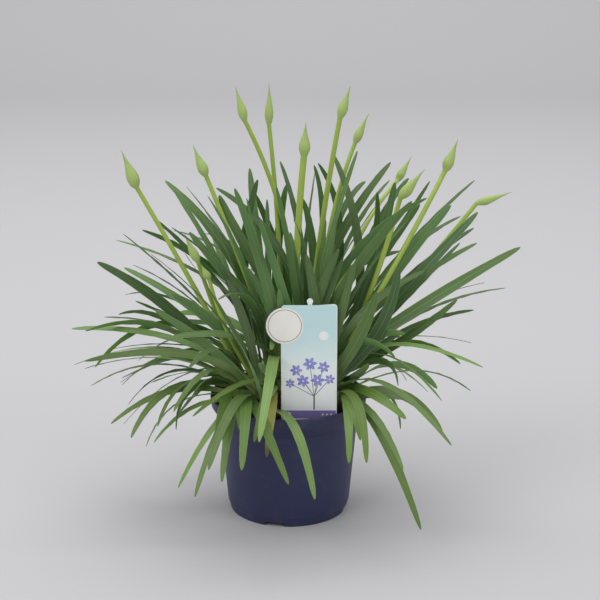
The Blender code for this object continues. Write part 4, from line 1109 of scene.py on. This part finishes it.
class AGAPANTHUS_OT_leaves(bpy.types.Operator):
    """Dress each shoot with its strap leaves and wrapped foot"""

    bl_idname = "agapanthus.leaves"
    bl_label = "Leaves"
    bl_options = {"REGISTER", "UNDO"}

    def execute(self, context):
        settings = context.scene.agapanthus_leaves
        blade_skin, foot_skin = leaf_finish(settings), sheath_finish(settings)
        spots, grown = grown_leaves()
        for i, leaves in enumerate(grown):
            blades = BladeMesh()
            for plan, leaf in leaves:
                draw = random.Random("look " + plan["name"])
                tip = leaf[2]
                low = max(0.0, min(1.0, (0.34 - tip.z) / 0.2))
                fresh = min(1.0, max(0.0, 0.12 + 0.62 * low + draw.uniform(-0.22, 0.28)))
                age = 0.85 if plan["name"] in FADED_LEAVES else 0.0
                add_blade(blades, leaf, settings, (draw.random(), fresh, age), draw)
            if not blades.points:
                raise RuntimeError(f"no leaf of shoot {i + 1} was found in its solid")
            node = f"shoot_{i + 1:02d}"
            blades.piece(f"leaves_{i + 1:02d}", blade_skin, "leaf", (node,))
            foot = BladeMesh()
            add_sheath(foot, spots[i], random.Random(f"foot {i}"))
            foot.piece(f"leaf_foot_{i + 1:02d}", foot_skin, "leaf", (node,))
        return {"FINISHED"}


# Scapes


def add_scape(mesh, curve, sides, draw):
    """A round stem that swells into a closed, pointed bud with a fine beak."""
    start, bend, bud_foot, tip, stem, bud = curve
    across = Vector((1.0, 0.0, 0.0))
    shares = (0.88 * stem / bud, 0.79, 0.98, 0.93, 0.67, 0.35, 0.13, 0.03)
    points, uvs, values = [], [], []
    twist = draw.uniform(-1.0, 1.0)

    def ring(centre, slope, half_x, half_y, v):
        side = (across - slope * across.dot(slope)).normalized()
        deep = slope.cross(side)
        for s in range(sides):
            angle = math.tau * s / sides
            points.append(centre + side * (half_x * math.cos(angle)) + deep * (half_y * math.sin(angle)))
            uvs.append((s / sides, v))
            values.append((0.5, 0.5, 0.0, 0.0))

    below = start - Vector((0.0, 0.0, 0.7 * SCAPE_DEPTH))
    ring(below, Vector((0, 0, 1)), stem * 1.1, stem * 1.1, 0.0)
    steps = 26
    for k in range(steps):
        t = k / steps
        radius = stem * (1.12 - 0.24 * t)
        slope = bezier_slope(start, bend, bud_foot, t)
        ring(bezier(start, bend, bud_foot, t), slope, radius, radius, max(0.02, t))
    heading = (tip - bud_foot).normalized()
    first = bezier_slope(start, bend, bud_foot, 1.0)
    length = (tip - bud_foot).length
    bud_steps = 18
    for k in range(bud_steps + 1):
        share = k / bud_steps * LAST_BUD_RING
        width = bud * smoothed(BUD_STATIONS, shares, share)
        slope = first.lerp(heading, min(1.0, share * 3.0)).normalized()
        sway = across * (math.sin(share * math.pi) * 0.02 * length * twist * share)
        ring(bud_foot + heading * (length * share) + sway, slope, width, 0.85 * width, 1.0 + share)
    faces = tube_faces(len(points) // sides, sides)
    last = len(points) - sides
    points.append(tip.copy())
    uvs.append((0.5, 2.0))
    values.append((0.5, 0.5, 0.0, 0.0))
    faces.append(tuple(range(sides))[::-1])
    for s in range(sides):
        faces.append((last + s, last + (s + 1) % sides, len(points) - 1))
    mesh.add(points, faces, uvs, values)


class AGAPANTHUS_OT_scapes(bpy.types.Operator):
    """Dress each flower scape with its smooth stem and closed bud"""

    bl_idname = "agapanthus.scapes"
    bl_label = "Scapes"
    bl_options = {"REGISTER", "UNDO"}

    def execute(self, context):
        settings = context.scene.agapanthus_scapes
        skin = scape_finish(settings)
        grown = grown_scapes()
        for name in SCAPES:
            if name not in grown:
                raise RuntimeError(f"{name} wasn't found in its solid")
            scape = BladeMesh()
            add_scape(scape, grown[name], settings.sides, random.Random("look " + name))
            scape.piece(name.replace("scape", "flower_scape"), skin, "scape", (name,))
        return {"FINISHED"}


# Pot and soil


def turned(name, profile, sides):
    """A closed profile of (radius, height) points turned about Z, as an object linked to the scene."""
    mesh = bpy.data.meshes.new(name)
    shell = bmesh.new()
    loop = [shell.verts.new((r, 0.0, z)) for r, z in profile]
    edges = [shell.edges.new((a, b)) for a, b in zip(loop, loop[1:] + loop[:1])]
    bmesh.ops.spin(
        shell,
        geom=loop + edges,
        axis=(0.0, 0.0, 1.0),
        cent=(0.0, 0.0, 0.0),
        steps=sides,
        angle=math.tau,
        use_merge=True,
    )
    bmesh.ops.remove_doubles(shell, verts=shell.verts, dist=0.001 * MM)
    bmesh.ops.dissolve_degenerate(shell, edges=shell.edges, dist=0.001 * MM)
    bmesh.ops.recalc_face_normals(shell, faces=shell.faces)
    shell.to_mesh(mesh)
    shell.free()
    made = bpy.data.objects.new(name, mesh)
    bpy.context.scene.collection.objects.link(made)
    return made


def rounded(points, radius, steps=4):
    """The same outline with each corner of an open run of points rounded off."""
    out = [points[0]]
    for before, at, after in zip(points, points[1:], points[2:]):
        a, b, c = Vector(before), Vector(at), Vector(after)
        reach = min(radius, 0.45 * (a - b).length, 0.45 * (c - b).length)
        enter, leave = b + (a - b).normalized() * reach, b + (c - b).normalized() * reach
        for k in range(steps + 1):
            out.append(tuple(bezier(enter, b, leave, k / steps)))
    out.append(points[-1])
    return out


def cut_away(body, cutters):
    """Cuts a list of boxes and drums from the body and removes them."""
    for cutter in cutters:
        cut = body.modifiers.new("cut", "BOOLEAN")
        cut.operation, cut.object, cut.solver = "DIFFERENCE", cutter, "EXACT"
    bpy.context.view_layer.update()
    graph = bpy.context.evaluated_depsgraph_get()
    mesh = bpy.data.meshes.new_from_object(body.evaluated_get(graph))
    body.modifiers.clear()
    body.data = mesh
    for cutter in cutters:
        bpy.data.objects.remove(cutter)


class AGAPANTHUS_OT_pot(bpy.types.Operator):
    """Mould the round nursery pot with its collar, foot band, gates and drain holes"""

    bl_idname = "agapanthus.pot"
    bl_label = "Pot"
    bl_options = {"REGISTER", "UNDO"}

    def execute(self, context):
        settings = context.scene.agapanthus_pot
        outside = [
            (RIM_RADIUS - WALL - 0.2 * MM, POT_HEIGHT),
            (RIM_RADIUS - 0.3 * MM, POT_HEIGHT),
            (RIM_RADIUS - 0.05 * MM, POT_HEIGHT - 2.4 * MM),
            (RIM_RADIUS - 1.4 * MM, POT_HEIGHT - 0.5 * COLLAR_HEIGHT),
            (COLLAR_FOOT_RADIUS + 0.8 * MM, COLLAR_FOOT + 3.0 * MM),
            (COLLAR_FOOT_RADIUS - 0.6 * MM, COLLAR_FOOT),
            (BODY_TOP_RADIUS, COLLAR_FOOT - 1.5 * MM),
            (BODY_TOP_RADIUS - 0.7 * MM, COLLAR_FOOT - 9.0 * MM),
            (BODY_TOP_RADIUS - 1.0 * MM, COLLAR_FOOT - 9.6 * MM),
            (BODY_FOOT_RADIUS, FOOT_BAND),
            (BODY_FOOT_RADIUS - 0.8 * MM, FOOT_BAND - 1.0 * MM),
            (BODY_FOOT_RADIUS - 3.2 * MM, 0.0),
            (BODY_FOOT_RADIUS - 3.2 * MM - WALL, 0.0),
        ]
        rest = [
            (BODY_FOOT_RADIUS - 3.2 * MM - WALL, BASE_LIFT),
            (BASE_PAD_RADIUS, BASE_LIFT),
            (BASE_PAD_RADIUS, 0.0),
            (0.0, 0.0),
            (0.0, BASE_LIFT + WALL),
            (BODY_FOOT_RADIUS - WALL - 0.6 * MM, BASE_LIFT + WALL),
            (BODY_TOP_RADIUS - WALL, COLLAR_FOOT - 3.0 * MM),
            *COLLAR_INSIDE,
        ]
        pot = turned("nursery_pot", rounded(outside, 1.3 * MM) + rest, settings.sides)
        cutters = []
        for i in range(DRAIN_GATES):
            turn = DRAIN_GATE_TURN + i * math.tau / DRAIN_GATES
            out = Vector((math.cos(turn), math.sin(turn), 0.0))
            bpy.ops.mesh.primitive_cube_add(size=1.0, location=out * (BODY_FOOT_RADIUS - 3.0 * MM))
            gate = bpy.context.object
            gate.scale = (12.0 * MM, DRAIN_GATE_WIDTH, 2.0 * DRAIN_GATE_HEIGHT)
            gate.rotation_euler = (0.0, 0.0, turn)
            cutters.append(gate)
        for i in range(DRAIN_HOLES):
            turn = DRAIN_GATE_TURN + (i + 0.5) * math.tau / DRAIN_HOLES
            spot = Vector((math.cos(turn), math.sin(turn), 0.0)) * DRAIN_HOLE_CIRCLE
            spot.z = BASE_LIFT + 0.5 * WALL
            bpy.ops.mesh.primitive_cylinder_add(
                vertices=28, radius=DRAIN_HOLE_RADIUS, depth=6.0 * WALL, location=spot
            )
            cutters.append(bpy.context.object)
        cut_away(pot, cutters)
        pot.data.materials.clear()
        pot.data.materials.append(pot_finish(settings))
        for face in pot.data.polygons:
            face.use_smooth = True
        pot.data.set_sharp_from_angle(angle=math.radians(38.0))
        dress(pot, ("pot",))
        return {"FINISHED"}


class AGAPANTHUS_OT_soil(bpy.types.Operator):
    """Fill the pot with crumbly peat that is highest in the middle"""

    bl_idname = "agapanthus.soil"
    bl_label = "Soil"
    bl_options = {"REGISTER", "UNDO"}

    def execute(self, context):
        settings = context.scene.agapanthus_pot
        low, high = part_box("soil")
        reach = 0.5 * (high.x - low.x) - 0.2 * MM
        rings, sides = 44, 132
        points = [Vector((0.0, 0.0, soil_height(0.0, 0.0)))]
        for k in range(1, rings + 1):
            radius = reach * k / rings
            for s in range(sides):
                turn = math.tau * (s + 0.5 * (k % 2)) / sides
                x, y = radius * math.cos(turn), radius * math.sin(turn)
                rough = noise.noise(Vector((x, y, 0.3)) * 260.0)
                rough += 0.6 * noise.noise(Vector((x, y, 1.7)) * 620.0)
                edge = min(1.0, (rings - k) / 3.0)
                points.append(Vector((x, y, min(high.z, soil_height(x, y) + SOIL_ROUGHNESS * rough * edge))))
        walls = ((COLLAR_FOOT - 3.0 * MM, BODY_TOP_RADIUS), (low.z, BODY_FOOT_RADIUS - 0.6 * MM))
        for height, radius in walls:
            inside = radius - WALL - 1.2 * MM
            for s in range(sides):
                turn = math.tau * s / sides
                points.append(Vector((inside * math.cos(turn), inside * math.sin(turn), height)))
        foot_low = len(points) - sides
        faces = [(0, 1 + s, 1 + (s + 1) % sides) for s in range(sides)]
        faces += [(a, d, c, b) for a, b, c, d in tube_faces(rings + 2, sides, 1)]
        faces.append(tuple(foot_low + s for s in range(sides))[::-1])
        peat = soil_finish("peat", settings, 1.0)
        new_piece("potting_soil", points, faces, peat, True, ("soil",))

        draw = random.Random("crumbs")
        points, faces = [], []
        ball = bmesh.new()
        bmesh.ops.create_icosphere(ball, subdivisions=1, radius=1.0)
        shape = [v.co.copy() for v in ball.verts]
        skin = [tuple(v.index for v in f.verts) for f in ball.faces]
        ball.free()
        for _ in range(settings.crumbs):
            radius, turn = (reach - 4.0 * MM) * math.sqrt(draw.random()), draw.uniform(0, math.tau)
            x, y = radius * math.cos(turn), radius * math.sin(turn)
            size = draw.uniform(0.7, 2.3) * MM
            lie = Matrix.Rotation(draw.uniform(0, math.tau), 3, "Z")
            lie = lie @ Matrix.Rotation(draw.uniform(-0.6, 0.6), 3, "X")
            long, flat = draw.uniform(0.9, 1.9), draw.uniform(0.45, 0.9)
            start = len(points)
            for co in shape:
                jag = 1.0 + 0.28 * draw.uniform(-1, 1)
                bent = lie @ Vector((co.x * long, co.y, co.z * flat))
                points.append(Vector((x, y, soil_height(x, y) + 0.3 * size)) + bent * (size * jag))
            faces += [tuple(start + i for i in f) for f in skin]
        crumbs = soil_finish("peat_crumbs", settings, 1.5)
        new_piece("soil_crumbs", points, faces, crumbs, False, ("soil",))
        return {"FINISHED"}


# Label


def printed(name, outlines, y, material):
    """Flat shapes from points in the card's own X and Z, in one mesh; later ones lie a hair in front."""
    points, faces = [], []
    for n, outline in enumerate(outlines):
        start = len(points)
        area = sum(a[0] * b[1] - b[0] * a[1] for a, b in zip(outline, outline[1:] + outline[:1]))
        ordered = outline if area > 0 else outline[::-1]
        points += [(CARD_CENTRE_X + x, y - 0.0004 * MM * n, CARD_FOOT + z) for x, z in ordered]
        faces.append(tuple(start + i for i in range(len(outline))))
    return new_piece(name, points, faces, material, False)


def on_circle(cx, cz, radius, turn):
    return (cx + radius * math.cos(turn), cz + radius * math.sin(turn))


def disc(cx, cz, radius, steps):
    return [on_circle(cx, cz, radius, math.tau * i / steps) for i in range(steps)]


def petal(cx, cz, turn, length, width):
    """A pointed petal whose foot is at a point."""
    out = Vector((math.cos(turn), math.sin(turn)))
    side = Vector((-out.y, out.x))
    spots = ((0.0, 0.1), (0.3, 0.75), (0.6, 1.0), (0.85, 0.6), (1.0, 0.0))
    left = [Vector((cx, cz)) + out * (length * a) + side * (0.5 * width * b) for a, b in spots]
    right = [Vector((cx, cz)) + out * (length * a) - side * (0.5 * width * b) for a, b in spots[:-1]]
    return [tuple(p) for p in left + right[::-1]]


def card_outline(inset):
    half, corner = 0.5 * CARD_WIDTH - inset, CARD_CORNER - inset
    low, high = inset, CARD_HEIGHT - inset
    points = []
    for cx, cz, start in (
        (-half + corner, low + corner, 180.0),
        (half - corner, low + corner, 270.0),
        (half - corner, high - corner, 0.0),
        (-half + corner, high - corner, 90.0),
    ):
        for i in range(7):
            points.append(on_circle(cx, cz, corner, math.radians(start + 15.0 * i)))
    return points


class AGAPANTHUS_OT_label(bpy.types.Operator):
    """Print the plant label with a plain ground, loose blossoms, a band and a blank badge"""

    bl_idname = "agapanthus.label"
    bl_label = "Label"
    bl_options = {"REGISTER", "UNDO"}

    def execute(self, context):
        settings = context.scene.agapanthus_label
        white = card_finish("card_plastic", (0.78, 0.79, 0.77), (0.83, 0.83, 0.81), 18.0)
        for node, material in (
            ("label_card", white),
            ("label_stake", card_finish("stake_plastic", (0.70, 0.73, 0.70), (0.80, 0.81, 0.79), 40.0)),
        ):
            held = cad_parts[node]
            held.data.materials.clear()
            held.data.materials.append(material)
        low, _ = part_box("label_card")
        front = low.y - 0.06 * MM
        printed("card_ground", [card_outline(1.0 * MM)], front, ground_finish(settings))

        draw = random.Random("blossoms")
        blooms, stalks, eyes = [], [], []
        fork = Vector((6.0 * MM, 30.0 * MM))
        for x, z, size in BLOSSOMS:
            x, z, size = x * MM, z * MM, size * MM
            turn = draw.uniform(0, math.tau)
            head = Vector((x, z))
            out = head - fork
            side = Vector((-out.y, out.x)).normalized() * (0.35 * MM)
            stalks.append([tuple(p) for p in (fork - side, head - side, head + side, fork + side)])
            for k in range(6):
                blooms.append(petal(x, z, turn + k * math.tau / 6, size, 0.52 * size))
            eyes.append(disc(x, z, 0.16 * size, 12))
        left, right, foot, top = 5.1 * MM, 6.9 * MM, 13.5 * MM, 30.0 * MM
        stalks.append([(left, foot), (right, foot), (right, top), (left, top)])

        edge = 0.5 * CARD_WIDTH - 1.0 * MM
        band = [(-edge, 2.6 * MM), (edge, 2.6 * MM), (edge, 12.5 * MM), (-edge, 12.5 * MM)]
        discs = [disc(-24.0 * MM, 7.6 * MM, 3.0 * MM, 24)]
        discs += [disc((16.0 + 5.0 * k) * MM, 7.6 * MM, 1.1 * MM, 16) for k in range(3)]
        discs.append(disc(17.0 * MM, 104.0 * MM, 5.5 * MM, 32))
        badge = disc(BADGE_X, BADGE_Z, BADGE_RADIUS - 0.6 * MM, 72)
        steps = 64
        outer, inner = (disc(BADGE_X, BADGE_Z, radius, steps) for radius in BADGE_RING)
        ends = [(k, (k + 1) % steps) for k in range(steps)]
        ring = [[outer[a], outer[b], inner[b], inner[a]] for a, b in ends]
        blossom = tuple(settings.blossom)

        # Each print: shapes, height over the card in mm, ink, two colours and the scale of their drift
        for name, shapes, over, ink, colour, second, scale in (
            ("card_stalks", stalks, 0.03, "stalk_ink", (0.05, 0.07, 0.09), (0.08, 0.11, 0.10), 60.0),
            ("card_blossoms", blooms, 0.06, "blossom_ink", blossom, (0.30, 0.29, 0.66), 120.0),
            ("card_eyes", eyes, 0.10, "eye_ink", (0.62, 0.64, 0.80), (0.75, 0.75, 0.85), 120.0),
            ("card_band", [band], 0.04, "band_ink", tuple(settings.band), (0.20, 0.15, 0.42), 50.0),
            ("card_discs", discs, 0.08, "disc_ink", (0.80, 0.81, 0.80), (0.84, 0.84, 0.82), 50.0),
            ("badge_ring", ring, 0.14, "ring_ink", tuple(settings.ring), (0.36, 0.20, 0.09), 50.0),
            ("badge_ground", [badge], 0.10, "badge_ink", (0.80, 0.78, 0.73), (0.84, 0.82, 0.78), 30.0),
        ):
            printed(name, shapes, front - over * MM, card_finish(ink, colour, second, scale))
        return {"FINISHED"}


# Stage


def soft_light(name, place, aim, size, power):
    data = bpy.data.lights.new(name, "AREA")
    data.shape, data.size, data.size_y, data.energy = "RECTANGLE", size[0], size[1], power
    lamp = bpy.data.objects.new(name, data)
    lamp.location = place
    lamp.rotation_euler = (Vector(aim) - Vector(place)).to_track_quat("-Z", "Y").to_euler()
    bpy.context.scene.collection.objects.link(lamp)


class AGAPANTHUS_OT_stage(bpy.types.Operator):
    """Set the pale seamless floor, the soft studio light and the camera"""

    bl_idname = "agapanthus.stage"
    bl_label = "Stage"
    bl_options = {"REGISTER", "UNDO"}

    def execute(self, context):
        settings = context.scene.agapanthus_stage
        scene = context.scene
        width, front, back, curve, top = 9.0, -9.0, 5.2, 1.8, 6.0
        run = [(front, 0.0), (back - curve, 0.0)]
        for k in range(1, 17):
            turn = math.radians(90.0 * k / 16)
            run.append((back - curve + curve * math.sin(turn), curve - curve * math.cos(turn)))
        run.append((back, top))
        points = [Vector((x, y, z)) for y, z in run for x in (-width, width)]
        faces = [(2 * k, 2 * k + 1, 2 * k + 3, 2 * k + 2) for k in range(len(run) - 1)]
        add_mesh("studio_floor", points, faces, floor_finish(settings))
        world = bpy.data.worlds.new("studio_air")
        world.use_nodes = True
        air = world.node_tree.nodes["Background"]
        air.inputs["Color"].default_value = (0.97, 0.98, 1.0, 1.0)
        air.inputs["Strength"].default_value = settings.sky_strength
        scene.world = world
        for name, place, aim, size, share in LIGHTS:
            soft_light(name, place, aim, size, share * settings.key_power)
        camera = bpy.data.cameras.new("studio_camera")
        camera.sensor_width = SENSOR_WIDTH
        camera.lens = EYE_LENS / (2.0 * PICTURE_CENTRE) * SENSOR_WIDTH
        eye = bpy.data.objects.new("studio_camera", camera)
        eye.location = EYE
        eye.rotation_euler = (math.radians(90.0) - EYE_PITCH, 0.0, 0.0)
        scene.collection.objects.link(eye)
        scene.camera = eye
        scene.view_settings.view_transform = "Standard"
        return {"FINISHED"}


PIECES = (
    AGAPANTHUS_OT_stage,
    AGAPANTHUS_OT_pot,
    AGAPANTHUS_OT_soil,
    AGAPANTHUS_OT_label,
    AGAPANTHUS_OT_scapes,
    AGAPANTHUS_OT_leaves,
)


class AGAPANTHUS_PT_panel(bpy.types.Panel):
    """Settings and pieces of the potted agapanthus"""

    bl_label = "Agapanthus"
    bl_idname = "AGAPANTHUS_PT_panel"
    bl_space_type = "VIEW_3D"
    bl_region_type = "UI"
    bl_category = "Agapanthus"

    def draw(self, context):
        for name, group in SETTINGS.items():
            box = self.layout.box()
            box.label(text=group.__name__.replace("Settings", ""))
            for field in group.__annotations__:
                box.prop(getattr(context.scene, name), field)
        for piece in PIECES:
            self.layout.operator(piece.bl_idname)


def register():
    for group in SETTINGS.values():
        bpy.utils.register_class(group)
    for name, group in SETTINGS.items():
        setattr(bpy.types.Scene, name, bpy.props.PointerProperty(type=group))
    for piece in PIECES:
        bpy.utils.register_class(piece)
    bpy.utils.register_class(AGAPANTHUS_PT_panel)


def unregister():
    bpy.utils.unregister_class(AGAPANTHUS_PT_panel)
    for piece in reversed(PIECES):
        bpy.utils.unregister_class(piece)
    for name in SETTINGS:
        delattr(bpy.types.Scene, name)
    for group in SETTINGS.values():
        bpy.utils.unregister_class(group)


def main():
    register()
    for piece in PIECES:
        getattr(bpy.ops.agapanthus, piece.bl_idname.split(".")[1])()


if __name__ == "__main__":
    main()
